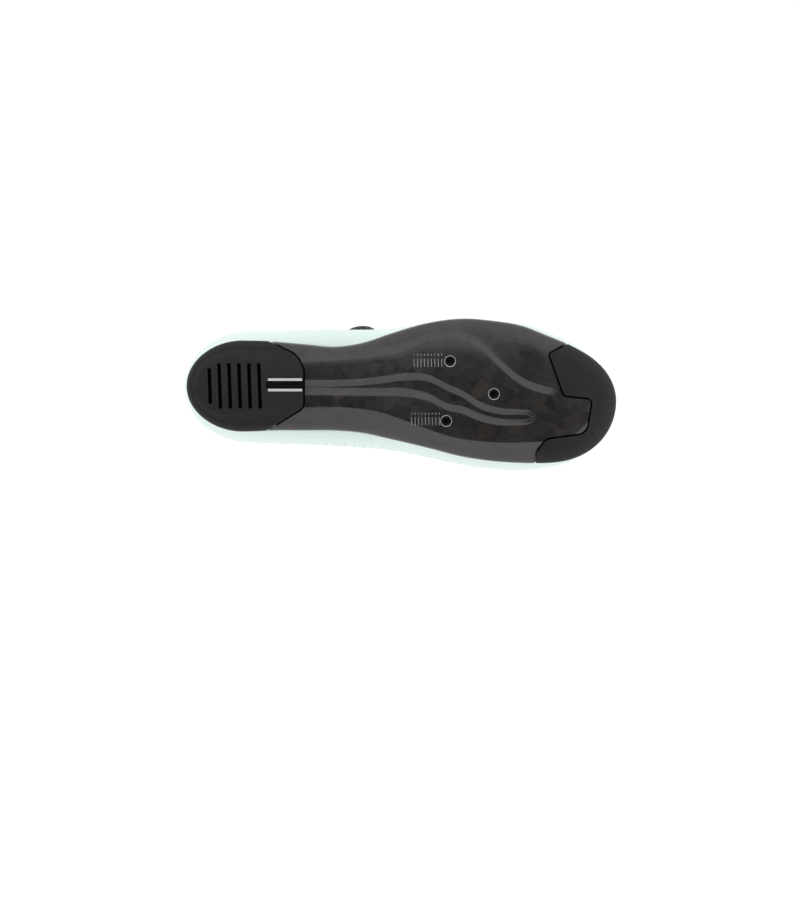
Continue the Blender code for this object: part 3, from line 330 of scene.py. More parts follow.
def finished(name, made, *materials, sharp=35):
    """An object from a bmesh, its faces pointing out."""
    bmesh.ops.remove_doubles(made, verts=made.verts, dist=1e-7)
    bmesh.ops.recalc_face_normals(made, faces=made.faces)
    mesh = bpy.data.meshes.new(name)
    made.to_mesh(mesh)
    made.free()
    for material in materials:
        mesh.materials.append(material)
    return smoothed(linked(name, mesh), sharp)


def placed(piece, slot, *nodes):
    """The standing piece laid down with the shoe, in place of the frame's plain solids."""
    piece.data.transform(SHOE)
    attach(piece, "root")
    if nodes:
        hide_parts(*nodes)
    print(piece.name, "-", len(piece.data.polygons), "faces")
    return piece


def surface(piece):
    """A tree of the piece's faces, which finds where a ray meets them."""
    mesh = bmesh.new()
    mesh.from_mesh(piece.data)
    tree = BVHTree.FromBMesh(mesh)
    mesh.free()
    return tree


# %% [markdown]
# A Boolean cuts one mesh with another. Left as modifiers, a dozen cuts would be worked out again each time
# the scene is read, so each is applied at once and its cutter deleted. The faces that a cutter leaves take
# the cutter's own material, which is how the walls of a groove get a painted shade, darker than the surface.

# %% Cutting one mesh with another
def as_mesh(thing):
    """The mesh that an object's curve or modifiers make."""
    return bpy.data.meshes.new_from_object(thing.evaluated_get(bpy.context.evaluated_depsgraph_get()))


def curve_mesh(curve):
    """A curve's mesh, without an object left behind."""
    thing = linked(curve.name, curve)
    mesh = as_mesh(thing)
    bpy.data.objects.remove(thing, do_unlink=True)
    return mesh


def applied(piece):
    """The piece with its modifiers worked out and gone."""
    mesh = as_mesh(piece)
    piece.modifiers.clear()
    old, piece.data = piece.data, mesh
    bpy.data.meshes.remove(old)
    return piece


def cut(piece, cutter, operation="DIFFERENCE"):
    step = piece.modifiers.new("cut", "BOOLEAN")
    step.object = cutter
    step.operation = operation
    step.solver = "EXACT"
    step.material_mode = "TRANSFER"
    applied(piece)
    bpy.data.objects.remove(cutter, do_unlink=True)
    return piece


# %% [markdown]
# Between its rings a slab is closed by rungs. Each rung runs from a lateral point to the medial point
# across from it, and a function says which points lie between them. That function is where the plate's
# channel and bevel come from.

# %% Slabs that follow the sole
def fill_across(made, ring, across):
    """Close the middle of a loop with rungs from its lateral to its medial points."""
    half = len(ring) // 2
    rungs = [[ring[0]]]
    for i in range(1, half):
        lateral, medial = ring[i], ring[-i]
        rungs.append([lateral, *new_row(made, across(lateral.co, medial.co)), medial])
    rungs.append([ring[half]])
    for near, far in zip(rungs, rungs[1:]):
        near = near * len(far) if len(near) == 1 else near
        far = far * len(near) if len(far) == 1 else far
        for k in range(len(near) - 1):
            corners = dict.fromkeys((near[k], near[k + 1], far[k + 1], far[k]))
            made.faces.new(list(corners))


def even_rungs(count, height):
    """Rungs of evenly spaced points at height(x)."""

    def across(lateral, medial):
        points = [lateral.lerp(medial, k / (count + 1)) for k in range(1, count + 1)]
        return [(p.x, p.y, float(height(p.x))) for p in points]

    return across


def slab(name, stations, lower, lower_rungs, upper, upper_rungs, *materials):
    """A closed form whose rings follow the sole's outline.

    lower runs from its inner ring out, upper from its outer ring in. Each ring is an inset from the outline
    and a height, both functions of x and side."""
    s, side = loop_sections(stations)
    plan, out = sole_edge(s, side)
    made = bmesh.new()
    rows = []
    for inset, height in [*lower, *upper]:
        at = plan - out * (inset(plan[:, 0], side) * np.ones(len(plan)))[:, None]
        rows.append(new_row(made, np.column_stack([at, height(at[:, 0], side) * np.ones(len(plan))])))
    skin(made, rows)
    fill_across(made, rows[0], lower_rungs)
    fill_across(made, rows[-1], upper_rungs)
    return finished(name, made, *materials)


def always(value):
    return lambda x, side: value


print("helpers ready")

# %% [markdown]
# ## Writing shader maths as sums
# A finish is a graph of nodes, and wiring one by hand is slow to write and hard to read. Here one small
# class stands for an output of a node, so that `1 - mask` or `a * b` adds the Math nodes that work it out.
# Colours and vectors don't go through Math, which would turn them grey: they have Mix and Vector Math.

# %% Shader sums
class Wire:
    """An output of a node. A sum on it adds the nodes that work it out."""

    def __init__(self, finish, socket):
        self.finish = finish
        self.socket = socket

    def math(self, operation, *values):
        return self.finish.node("ShaderNodeMath", {"operation": operation}, dict(enumerate(values)))

    def __add__(self, other):
        return self.math("ADD", self, other)

    __radd__ = __add__

    def __sub__(self, other):
        return self.math("SUBTRACT", self, other)

    def __rsub__(self, other):
        return self.math("SUBTRACT", other, self)

    def __mul__(self, other):
        return self.math("MULTIPLY", self, other)

    __rmul__ = __mul__

    def __abs__(self):
        return self.math("ABSOLUTE", self)

    def wave(self, length):
        """A sine of the given length, from -1 to 1."""
        return self.math("SINE", self * (2 * math.pi / length))

    def over(self, low, high):
        """0 below low, 1 above high, and a soft step between them."""
        kind = {"interpolation_type": "SMOOTHSTEP"}
        return self.finish.node("ShaderNodeMapRange", kind, {"Value": self, 1: low, 2: high, 3: 0.0, 4: 1.0})


print("wires add and multiply")

# %% [markdown]
# A finish starts from Blender's own shader with a few constants. Its patterns are laid out on the standing
# shoe, so they stay where they are when the shoe is laid down. Every node comes from one method, which
# takes the type, the settings and what goes into the sockets.

# %% Finishes
class Finish:
    """A material that starts with its shader's constants and the standing shoe's own coordinates."""

    def __init__(self, name, colour, **constants):
        self.material = bpy.data.materials.new(name)
        self.material.use_nodes = True
        self.tree = self.material.node_tree
        self.shader = self.tree.nodes["Principled BSDF"]
        self.shader.inputs["Base Color"].default_value = (*colour, 1)
        for label, value in constants.items():
            self.shader.inputs[label.replace("_", " ")].default_value = value
        self.place = self.standing()

    def node(self, kind, settings, sockets, out=0):
        """Any node: its settings first, then the values or wires of its sockets."""
        made = self.tree.nodes.new(kind)
        for name, value in settings.items():
            setattr(made, name, value)
        for label, value in sockets.items():
            if isinstance(value, Wire):
                self.tree.links.new(value.socket, made.inputs[label])
            else:
                made.inputs[label].default_value = value
        return Wire(self, made.outputs[out])

    def standing(self):
        """Where a point lies on the standing shoe, worked back from where the lying mesh has it."""
        lying = self.node("ShaderNodeTexCoord", {}, {}, "Object")
        stand = SHOE.inverted()
        sockets = {"Vector": lying, "Location": stand.translation, "Rotation": stand.to_euler()}
        return self.node("ShaderNodeMapping", {"vector_type": "POINT"}, sockets)

    def axis(self, vector, k):
        return self.node("ShaderNodeSeparateXYZ", {}, {0: vector}, k)

    def vector(self, operation, *values, out=0):
        return self.node("ShaderNodeVectorMath", {"operation": operation}, dict(enumerate(values)), out)

    def turned(self, degrees):
        """The place, turned in plan."""
        sockets = {"Vector": self.place, "Angle": math.radians(degrees)}
        return self.node("ShaderNodeVectorRotate", {"rotation_type": "Z_AXIS"}, sockets)

    def noise(self, size, detail=2.0, roughness=0.5):
        """Soft noise from 0 to 1 whose patches are about size across, in metres."""
        sockets = {"Vector": self.place, "Scale": 1 / size, "Detail": detail, "Roughness": roughness}
        return self.node("ShaderNodeTexNoise", {}, sockets, "Fac")

    def cells(self, vector, size, output, randomness=1.0):
        """Voronoi cells: their colour, their middle, or the distance to it as a share of size."""
        sockets = {"Vector": vector, "Scale": 1 / size, "Randomness": randomness}
        return self.node("ShaderNodeTexVoronoi", {}, sockets, output)

    def mixed(self, share, first, second):
        """A colour between two others."""
        first, second = [(*c, 1) if isinstance(c, tuple) else c for c in (first, second)]
        return self.node("ShaderNodeMix", {"data_type": "RGBA"}, {0: share, 6: first, 7: second}, 2)

    def tones(self, share, first, second):
        self.feed(Base_Color=self.mixed(share, first, second))

    def raised(self, height):
        """Bump by a height in metres, and the finished material."""
        sockets = {"Strength": 1.0, "Distance": 1.0, "Height": height}
        self.feed(Normal=self.node("ShaderNodeBump", {}, sockets))
        return self.material

    def feed(self, **wires):
        for label, wire in wires.items():
            self.tree.links.new(wire.socket, self.shader.inputs[label.replace("_", " ")])


print("finishes can be written")

# %% [markdown]
# ## Chopped carbon
# The plate is pressed from chips of carbon tape, a few millimetres to a centimetre long, that lie at all
# angles under clear resin. Each chip has one tone and one slant, and it lights up or stays dark as a whole.
# An image would do this, but cells do it without one: straight-edged Voronoi cells at two angles give each
# chip a random tone and a random tilt of its normal. Towards the inner side the colour is painted a little
# lighter and warmer: painted light, standing for the light that the inner slope reflects.

# %% Chopped carbon
CHIP = 11 * MM
CHIP_TILT = 0.035


def chips(finish, size, degrees, seed):
    """Random colour of straight-edged cells, and a height that tilts each of them its own way."""
    there = finish.vector("ADD", finish.turned(degrees), (seed, seed, seed))
    tone = finish.cells(there, size, "Color")
    away = finish.vector("SUBTRACT", there, finish.cells(there, size, "Position"))
    slant = finish.vector("SUBTRACT", tone, (0.5, 0.5, 0.5))
    return tone, finish.vector("DOT_PRODUCT", away, slant, out="Value")


def chopped_carbon():
    resin = {"Coat_Weight": 0.5, "Coat_Roughness": 0.12}
    finish = Finish("chopped_carbon", (0.016, 0.015, 0.015), Roughness=0.27, **resin)
    wide, tilt_wide = chips(finish, CHIP, 38, 0.0)
    small, tilt_small = chips(finish, 0.6 * CHIP, -17, 0.3)
    tone = 0.6 * finish.axis(wide, 0) + 0.4 * finish.axis(small, 1)
    # Painted light: the inner side is mixed towards a lighter brown, standing for the light that its slope
    # reflects
    medial = finish.axis(finish.place, 1).over(14 * MM, 30 * MM)
    chip_brown_and_painted_light = finish.axis(wide, 2).over(0.62, 0.95) * finish.axis(small, 0).over(0.2, 0.9) + 0.35 * medial
    grey = finish.mixed(tone, (0.0145, 0.0140, 0.0145), (0.027, 0.025, 0.025))
    finish.tones(0.6 * chip_brown_and_painted_light, grey, (0.046, 0.036, 0.031))
    finish.feed(Roughness=0.23 + 0.12 * finish.axis(small, 2))
    return finish.raised(CHIP_TILT * tilt_wide + 0.7 * CHIP_TILT * tilt_small)


CARBON = chopped_carbon()
print("carbon:", len(CARBON.node_tree.nodes), "nodes")

# %% [markdown]
# ## Rubber
# The pads are matt black rubber. Their faces that touch the ground are spark-eroded to a fine grain, and
# part of them carries a knurl of tiny dots that the light picks out. The grain is noise, and the dots are a
# Voronoi without any randomness, turned to run slantwise. Masks from the shoe's own coordinates say where
# the dots are.

# %% Rubber
DOT_PITCH = 1.5 * MM
DOT_HEIGHT = 0.24 * MM

# The patches in millimetres, with the width of their soft edges; w is positive on the outer side
PATCH = "x_from x_to x_soft w_from w_to w_soft"
HEEL_KNURL = table(PATCH, (51, 74, 2, 12, 24, 1.5), (51, 74, 2, -15, -9, 1.5))
TOE_KNURL = table(PATCH, (257, 279, 3, -32, 1, 3), (238, 262, 3, -36, -26, 2))


def dots(finish, pitch, degrees):
    """Round dots on a slanted grid, from 0 to 1."""
    flat = finish.vector("MULTIPLY", finish.turned(degrees), (1, 1, 0))
    return 1 - finish.cells(flat, pitch, "Distance", 0.0).over(0.12, 0.45)


def between(value, low, high, soft):
    return value.over(low - soft, low + soft) * (1 - value.over(high - soft, high + soft))


def knurled(finish, patches):
    """Where the patches with dots lie, from 0 to 1."""
    x, w = finish.axis(finish.place, 0), -1 * finish.axis(finish.place, 1)
    masks = []
    for p in patches:
        lengthwise = between(x, p.x_from * MM, p.x_to * MM, p.x_soft * MM)
        masks.append(lengthwise * between(w, p.w_from * MM, p.w_to * MM, p.w_soft * MM))
    return masks[0].math("MAXIMUM", *masks)


def rubber(name, patches):
    """Black rubber with its patches of dots."""
    finish = Finish(name, (0.014, 0.014, 0.015), Roughness=0.50, Specular_IOR_Level=0.30)
    grain = finish.noise(0.5 * MM, 3.0, 0.6)
    dot = dots(finish, DOT_PITCH, 45) * knurled(finish, patches)
    finish.tones(finish.noise(14 * MM), (0.010, 0.010, 0.011), (0.016, 0.016, 0.017))
    finish.feed(Roughness=0.50 + 0.16 * grain - 0.14 * dot)
    return finish.raised(0.035 * MM * grain + DOT_HEIGHT * dot)


HEEL_RUBBER = rubber("heel_rubber", HEEL_KNURL)
TOE_RUBBER = rubber("toe_rubber", TOE_KNURL)
print("rubber:", len(HEEL_RUBBER.node_tree.nodes), "nodes")

# %% [markdown]
# The walls of grooves, in a painted shade, the bright strips in the trough, a painted highlight, and the
# printed marks are small. One function with a little grain is enough for all of them.

# %% Plain finishes
def dimmed(colour, share):
    return tuple(share * c for c in colour)


def plain(name, colour, roughness, specular=0.5, metallic=0.0, coat=0.0):
    """A finish for small dark or bright faces, with a little grain."""
    constants = {"Specular_IOR_Level": specular, "Metallic": metallic, "Coat_Weight": coat}
    finish = Finish(name, colour, Roughness=roughness, **constants)
    grain = finish.noise(0.8 * MM, 3.0)
    finish.tones(grain, dimmed(colour, 0.8), colour)
    return finish.raised(0.01 * MM * grain)


# Painted shade for the walls and floors of seams, slots, holes and the pads' seats
GROOVE_SHADE = plain("groove_shadow", (0.003, 0.003, 0.003), 0.9, specular=0.0)
TROUGH = plain("trough_gloss", (0.003, 0.003, 0.003), 0.35, specular=0.1)
# Painted highlight: near-white strips standing for the light that the trough's lips reflect
RAIL_HIGHLIGHT = plain("trough_highlight", (0.72, 0.72, 0.73), 0.3, coat=0.5)
PRINT = plain("printed_marks", (0.34, 0.34, 0.35), 0.5)
print("a plain finish:", len(GROOVE_SHADE.node_tree.nodes), "nodes")

# %% [markdown]
# ## The carbon plate
# This is the piece that the photo shows best. Its edge is rounded where it turns up into the tray, a bevel
# runs along the outer side, and a channel swings from the arch to the big-toe side. We could carve these
# with Booleans, but then each crease would be as sharp as a knife. Instead every rung across the sole has
# its points where the lines are, and a moving average over a millimetre softens each crease, as the mould's
# own radius would.

# %% The plate's lines
BEVEL_RISE = 1.9 * MM
BEVEL_WIDTH = 4.8 * MM
CHANNEL_DEPTH = 2.4 * MM
CHANNEL_END = 226 * MM
CHANNEL_TIP = 5 * MM
CREASE = 0.5 * MM

relief = columns(PLATE_RELIEF)


def channel_lines(x):
    """Middle, half width, half floor and depth of the channel at x, with a round end like a gouge's."""
    at = x / LENGTH
    short = min(1.0, max(0.0, 1 - (CHANNEL_END - x) / CHANNEL_TIP))
    middle, full = float(relief.channel(at)) * BALL_WIDTH, float(relief.half(at)) * BALL_WIDTH
    wall = full - float(relief.floor(at)) * BALL_WIDTH
    half = full * math.sqrt(1 - short**2)
    return middle, half, max(half - wall, 0.0), CHANNEL_DEPTH * min(1.0, half / wall)


def plate_lines(x):
    """Distance to the lateral side and height of each line across the plate's underside."""
    at = x / LENGTH
    level = float(land(x))
    low = level + BEVEL_RISE * (1 - float(ease((at - 0.80) / 0.08)))
    bevel = float(relief.bevel(at)) * BALL_WIDTH
    edge = float(relief.edge(at)) * BALL_WIDTH
    middle, half, floor, depth = channel_lines(x)
    return [
        (bevel + 0.5 * BEVEL_WIDTH, low),
        (bevel - 0.5 * BEVEL_WIDTH, level),
        (middle + half, level),
        (middle + floor, level + depth),
        (middle - floor, level + depth),
        (middle - half, level),
        (edge, level),
    ]


def softened(y, z, reach):
    """The height across the sole, averaged over reach to each side."""
    slope = np.diff(z) / np.diff(y)
    area = np.concatenate([[0.0], np.cumsum(0.5 * (z[1:] + z[:-1]) * np.diff(y))])

    def total(q):
        k = np.clip(np.searchsorted(y, q, side="right") - 1, 0, len(slope) - 1)
        d = q - y[k]
        return area[k] + z[k] * d + 0.5 * slope[k] * d * d

    def height(q):
        first, last = np.maximum(q - reach, y[0]), np.minimum(q + reach, y[-1])
        return (total(last) - total(first)) / (last - first)

    return height


print("channel half width under the ball:", round(channel_lines(165 * MM)[1] / MM, 2), "mm")

# %% [markdown]
# The rungs now ask for those lines and put four points round each crease and two on each flat between.
# Towards the heel's and the toe's ends the sole gets narrower than the lines, so they close up with it.
# Both places lie under rubber.

# %% The plate's rungs
ROUND_CREASE = (-1.0, -0.35, 0.35, 1.0)
ROUND_FLAT = (0.33, 0.67)


def relief_rungs(lateral, medial):
    x = 0.5 * (lateral.x + medial.x)
    room = min(1.0, abs(lateral.y) / (0.27 * BALL_WIDTH), abs(medial.y) / (0.18 * BALL_WIDTH))
    room = room if x < 0.2 * LENGTH or x > 0.9 * LENGTH else 1.0
    lines = plate_lines(x)
    y = np.array([lateral.y, *[-across * room for across, _ in lines], medial.y])
    z = np.array([lateral.z, *[height for _, height in lines], medial.z])
    y = np.maximum.accumulate(y + 1e-8 * np.arange(len(y)))
    creases = [y[1:-1] + CREASE * share for share in ROUND_CREASE]
    flats = [y[:-1] + np.diff(y) * share for share in ROUND_FLAT]
    points = np.sort(np.clip(np.concatenate(creases + flats), y[0] + 1e-6, y[-1] - 1e-6))
    heights = softened(y, z, CREASE)(points)
    return [(x, float(a), float(b)) for a, b in zip(points, heights)]


PLATE_EDGE = table(
    "at inset lateral medial",
    (0.00, 5.2, 2.0, 3.4),
    (0.30, 3.4, 2.3, 4.0),
    (0.55, 1.9, 2.9, 4.9),
    (0.80, 0.6, 4.2, 6.1),
    (1.00, 0.0, 6.0, 7.4),
)
EDGE_RINGS = 14
LEDGE = 4.4 * MM
PLATE_SHOULDER = 2 * MM
SOLE_STATIONS = 300


def edge_rings(rows, count, proud=0.0):
    """Rings round a soft edge, from a table of insets and of rises over the plate's underside."""
    edge = columns(rows)

    def ring(t):
        inset, lateral, medial = [float(column(t)) * MM for column in edge[1:]]
        return always(max(inset, 0.0)), lambda x, side: land(x) + by_side(side, lateral, medial) - proud

    return [ring(t) for t in np.linspace(0, 1, count)]


def plate_body():
    lower = edge_rings(PLATE_EDGE, EDGE_RINGS)
    upper = [
        (always(0.0), lambda x, side: rim(x)),
        (always(LEDGE), lambda x, side: rim(x)),
        (always(LEDGE + 0.2 * MM), lambda x, side: bed(x) + 1.2 * MM),
        (always(LEDGE + PLATE_SHOULDER), lambda x, side: bed(x)),
    ]
    return slab("sole_plate_carbon", SOLE_STATIONS, lower, relief_rungs, upper, even_rungs(3, bed), CARBON)


plate = plate_body()
print("plate:", len(plate.data.polygons), "faces")

# %% [markdown]
# ## Seams between plate and pads
# The rubber pads are moulded round the plate, and a dark line shows where they meet. Each seam is drawn in
# plan as a few corners with a radius each, and a tall block over that line cuts both pieces. Plate and pad
# stop a little short of the line, so the seam is a real groove. The plate's walls keep the block's dark
# finish, because light hardly reaches into it, and the pad's walls are rubber.

# %% Seam lines
HEEL_SEAM = table(
    "at across radius",
    (0.150, 0.420, 0.000),
    (0.262, 0.252, 0.150),
    (0.278, 0.150, 0.080),
    (0.278, -0.116, 0.070),
    (0.160, -0.330, 0.000),
)
TOE_SEAM = table(
    "at across radius",
    (0.950, 0.440, 0.000),
    (0.841, 0.260, 0.022),
    (0.876, -0.034, 0.040),
    (0.943, -0.053, 0.036),
    (0.930, -0.290, 0.080),
    (0.834, -0.330, 0.090),
    (0.811, -0.430, 0.080),
    (0.811, -0.560, 0.000),
)
ARC_STEPS = 12


def plan_point(corner):
    return Vector((corner.at * LENGTH, -corner.across * BALL_WIDTH))


def round_corners(corners):
    """A seam's line from its corners, each rounded by an arc of its own radius."""
    points = []
    for k, corner in enumerate(corners):
        here = plan_point(corner)
        radius = corner.radius * BALL_WIDTH
        if radius == 0:
            points.append(here)
            continue
        before = (plan_point(corners[k - 1]) - here).normalized()
        after = (plan_point(corners[k + 1]) - here).normalized()
        half_turn = before.angle(after) / 2
        start = here + before * radius / math.tan(half_turn)
        end = here + after * radius / math.tan(half_turn)
        middle = here + (before + after).normalized() * radius / math.sin(half_turn)
        sweep = (start - middle).angle_signed(end - middle)
        for step in range(ARC_STEPS + 1):
            points.append(middle + Matrix.Rotation(-sweep * step / ARC_STEPS, 2) @ (start - middle))
    return points


def moved_seam(line, gap):
    """The seam's line moved sideways by gap: towards the heel where it is positive."""
    moved = []
    for k, point in enumerate(line):
        before, after = line[max(k - 1, 0)], line[min(k + 1, len(line) - 1)]
        along = (after - before).normalized()
        moved.append(point + Vector((-along.y, along.x)) * gap)
    return moved


def seam_block(line, end_at, wall):
    """A tall block that covers the sole from its seam line to one end of the shoe."""
    low, high = -0.1 * LENGTH, 0.4 * LENGTH
    outline = [*line, Vector((end_at, line[-1].y)), Vector((end_at, line[0].y))]
    made = bmesh.new()
    capped(made, [new_row(made, [(p.x, p.y, z) for p in outline]) for z in (low, high)])
    return finished("seam_block", made, wall)


heel_line, toe_line = round_corners(HEEL_SEAM), round_corners(TOE_SEAM)
print("seam points:", len(heel_line), "and", len(toe_line))

# %% [markdown]
# ## What is left of the plate under a pad
# The plate goes on under the rubber as a thinner core, and the pad is hollow to fit over it. The core is
# one more slab, set in from the edge. The block over the seam, less the core, is what the plate loses to
# the pad. The pad keeps the block's part of its own form, less the core grown by a clearance.

# %% The plate's core and its seats
PAD_WRAP = 2 * MM
HEEL_PAD_BED = 1.2 * MM
TOE_PAD_BED = 2.4 * MM
CORE_STATIONS = 60
SEAM_HALF = 0.55 * MM


def core_height(x):
    """Underside of the plate where a pad covers it."""
    toe = ease((x - 0.45 * LENGTH) / (0.1 * LENGTH))
    return land(x) + HEEL_PAD_BED + (TOE_PAD_BED - HEEL_PAD_BED) * toe


def core(grow):
    wrap = PAD_WRAP - grow
    lower = [
        (always(wrap + 4 * MM), lambda x, side: core_height(x) - grow),
        (always(wrap), lambda x, side: core_height(x) + 2.2 * MM - grow),
    ]
    upper = [(always(wrap), lambda x, side: rim(x) + WALL_RISE)]
    low = even_rungs(1, lambda x: core_height(x) - grow)
    high = even_rungs(1, lambda x: rim(x) + WALL_RISE)
    return slab("core", CORE_STATIONS, lower, low, upper, high, GROOVE_SHADE)


def seat_pad(pad, line, end_at, towards_heel):
    """Cut the plate and the pad to each other along a seam."""
    seat = cut(seam_block(moved_seam(line, -towards_heel * SEAM_HALF), end_at, GROOVE_SHADE), core(0.0))
    cut(plate, seat)
    rubber = pad.data.materials[0]
    cut(pad, seam_block(moved_seam(line, towards_heel * SEAM_HALF), end_at, rubber), "INTERSECT")
    cut(pad, core(CLEARANCE))
    return pad


print("the core is", round(float(core_height(0.0) - land(0.0)) / MM, 1), "mm under the heel pad's face")

# %% [markdown]
# ## The heel tread
# The tread has a flat land that the shoe stands on, a band that falls away round it, a crease, and a round
# outer edge. Its rings are closer together at the back of the heel than along the sides, so each row of the
# table gives both insets. Six slots let dirt out, and a trough carries the plate's channel on to the heel,
# with a bright strip along each lip as a painted highlight.

# %% The heel tread
HEEL_ROWS = table(
    "side rear z",
    (12.6, 6.6, 0.00),
    (12.1, 6.2, 0.05),
    (11.6, 5.9, 0.25),
    (11.0, 5.6, 0.45),
    (8.6, 4.8, 0.85),
    (6.4, 4.0, 1.15),
    (6.0, 3.8, 1.30),
    (5.6, 3.6, 1.85),
    (5.1, 3.4, 1.80),
    (3.9, 2.7, 2.00),
    (2.7, 2.0, 2.35),
    (1.6, 1.3, 2.90),
    (0.8, 0.7, 3.60),
    (0.3, 0.3, 4.40),
    (0.0, 0.0, 5.50),
)
REAR_FROM = 6 * MM
REAR_TO = 44 * MM


def heel_ring(row):
    def inset(x, side):
        rear = 1 - ease((x - REAR_FROM) / (REAR_TO - REAR_FROM))
        return (row.side + (row.rear - row.side) * rear) * MM

    return inset, always(row.z * MM)


def flat_rungs(height):
    return even_rungs(9, height)


def heel_pad():
    lower = [heel_ring(row) for row in HEEL_ROWS]
    upper = [(always(0.0), lambda x, side: rim(x))]
    return slab("heel_tread", 200, lower, flat_rungs(lambda x: 0.0), upper, even_rungs(1, rim), HEEL_RUBBER)


heel_tread = seat_pad(heel_pad(), heel_line, -0.2 * LENGTH, 1)
print("heel tread:", len(heel_tread.data.polygons), "faces")

# %% [markdown]
# At the heel's seam the plate's bevels lie higher than the core, so the seat alone leaves no groove there.
# We could sink the core, but it carries the whole pad. Instead a router bit follows the plate's underside
# along the seam: rays find the surface, and a slim cutter reaches a set depth into it.

# %% The groove at the heel's seam
ROUTER_STEPS = 4
ROUTER_DEPTH = 0.8 * MM
CUT_PAST = 2 * MM


def seam_router(line):
    underside = surface(plate)
    shares = [k / ROUTER_STEPS for k in range(ROUTER_STEPS)]
    run = [start.lerp(end, share) for start, end in zip(line, line[1:]) for share in shares]
    made = bmesh.new()
    rows = []
    for sides in zip(moved_seam(run, SEAM_HALF), moved_seam(run, -SEAM_HALF)):
        hits = [underside.ray_cast(Vector((*p, -0.1 * LENGTH)), Vector((0, 0, 1)))[0] for p in sides]
        if None not in hits:
            top = [(p.x, p.y, p.z + ROUTER_DEPTH) for p in reversed(hits)]
            rows.append(new_row(made, [*[(*p, -CUT_PAST) for p in sides], *top]))
    capped(made, rows)
    # The groove's walls take a painted shade
    return finished("seam_router", made, GROOVE_SHADE)


cut(plate, seam_router(heel_line))
print("plate with its groove:", len(plate.data.polygons), "faces")

# %% [markdown]
# The slots lie a little aslant, and the first is shorter, to follow the round heel. One mesh of six boxes
# cuts them all. The trough's cutter is a lengthwise half pipe with a round end. Its lips are wider than the
# pipe, and two slim near-white strips lie on them: a painted highlight, standing for the light the lips
# reflect.

# %% Slots and trough
TREAD_SLOTS = 6
SLOT_FIRST = 17.2 * MM
SLOT_PITCH = 6.4 * MM
SLOT_WIDTH = 2.3 * MM
SLOT_DEPTH = 2.5 * MM
SLOT_HALF = 14.6 * MM
SLOT_HALF_FIRST = 11.4 * MM
SLOT_SLANT = math.radians(2)
PAD_AXIS = 3.3 * MM
TROUGH_FROM = 53 * MM
TROUGH_AXIS = 4.0 * MM
TROUGH_HALF = 2.5 * MM
TROUGH_DEPTH = 2.4 * MM
TROUGH_ROUND = 2.5 * MM
TROUGH_SIDES = 14
SEAM_AT = HEEL_SEAM[2].at * LENGTH
LIP = 1.9 * MM
LIP_DEPTH = 0.5 * MM


def slot_cutter():
    made = bmesh.new()
    for k in range(TREAD_SLOTS):
        half = SLOT_HALF_FIRST if k == 0 else SLOT_HALF
        middle = (SLOT_FIRST + k * SLOT_PITCH, -PAD_AXIS, 0)
        box(made, middle, (SLOT_WIDTH, 2 * half, 2 * SLOT_DEPTH), -SLOT_SLANT)
    # The slots' walls and floors take a painted shade
    return finished("slots", made, GROOVE_SHADE)


def trough_cutter():
    """A lengthwise cutter with a half-round section that shrinks at its rear end."""
    made = bmesh.new()
    turns = np.linspace(0.15, 1.57, 8)
    stations = [(TROUGH_FROM + TROUGH_ROUND * (1 - math.cos(a)), math.sin(a)) for a in turns]
    around = [math.pi * k / TROUGH_SIDES for k in range(TROUGH_SIDES + 1)]
    loops = []
    for x, share in [*stations, (SEAM_AT + 4 * MM, 1.0)]:
        half, depth = TROUGH_HALF * share, TROUGH_DEPTH * share
        section = [(half * math.cos(a), depth * math.sin(a)) for a in around]
        section = [(half, -CUT_PAST), *section, (-half, -CUT_PAST)]
        loops.append(new_row(made, [(x, -TROUGH_AXIS + y, z) for y, z in section]))
    capped(made, loops)
    return finished("trough", made, TROUGH)


def highlight_strips():
    """The two bright strips along the trough's lips: a painted highlight."""
    made = bmesh.new()
    start, end = TROUGH_FROM + 1.6 * MM, SEAM_AT - 1.1 * MM
    for side in (1, -1):
        middle = -TROUGH_AXIS + side * (TROUGH_HALF + 0.5 * LIP - 0.05 * MM)
        box(made, (0.5 * (start + end), middle, 0.38 * MM), (end - start, LIP - 0.15 * MM, 0.7 * MM))
    bmesh.ops.bevel(made, geom=made.edges[:], offset=0.2 * MM, segments=2, affect="EDGES")
    return finished("trough_highlight_strips", made, RAIL_HIGHLIGHT)


def lip_cutter():
    made = bmesh.new()
    start, end = TROUGH_FROM + 1.4 * MM, SEAM_AT + 4 * MM
    box(made, (0.5 * (start + end), -TROUGH_AXIS, 0), (end - start, 2 * (TROUGH_HALF + LIP), 2 * LIP_DEPTH))
    return finished("lips", made, TROUGH)


cut(heel_tread, slot_cutter())
cut(heel_tread, trough_cutter())
cut(heel_tread, lip_cutter())
placed(smoothed(heel_tread), "tread_rubber", "heel_pad")
placed(highlight_strips(), "tread_rubber")

# %% [markdown]
# ## The toe bumper
# At the toe the rubber is thicker than the plate and wraps its edge, so it takes the knocks. Its rings run
# from a flat face over a soft shoulder to the side. It stands a little proud of the plate.

# %% The toe bumper
TOE_PAD_PROUD = 0.7 * MM
TOE_EDGE = table(
    "at inset lateral medial",
    (0.00, 12.0, 0.6, 0.6),
    (0.30, 8.5, 0.8, 1.0),
    (0.50, 5.5, 1.4, 1.8),
    (0.70, 1.8, 3.4, 3.8),
    (0.85, 0.3, 5.4, 5.8),
    (1.00, 0.0, 7.4, 7.6),
)
TOE_RINGS = 18


def toe_pad():
    lower = edge_rings(TOE_EDGE, TOE_RINGS, TOE_PAD_PROUD)
    upper = [(always(0.0), lambda x, side: rim(x))]
    low = flat_rungs(lambda x: land(x) - TOE_PAD_PROUD)
    return slab("toe_bumper", 200, lower, low, upper, even_rungs(2, rim), TOE_RUBBER)


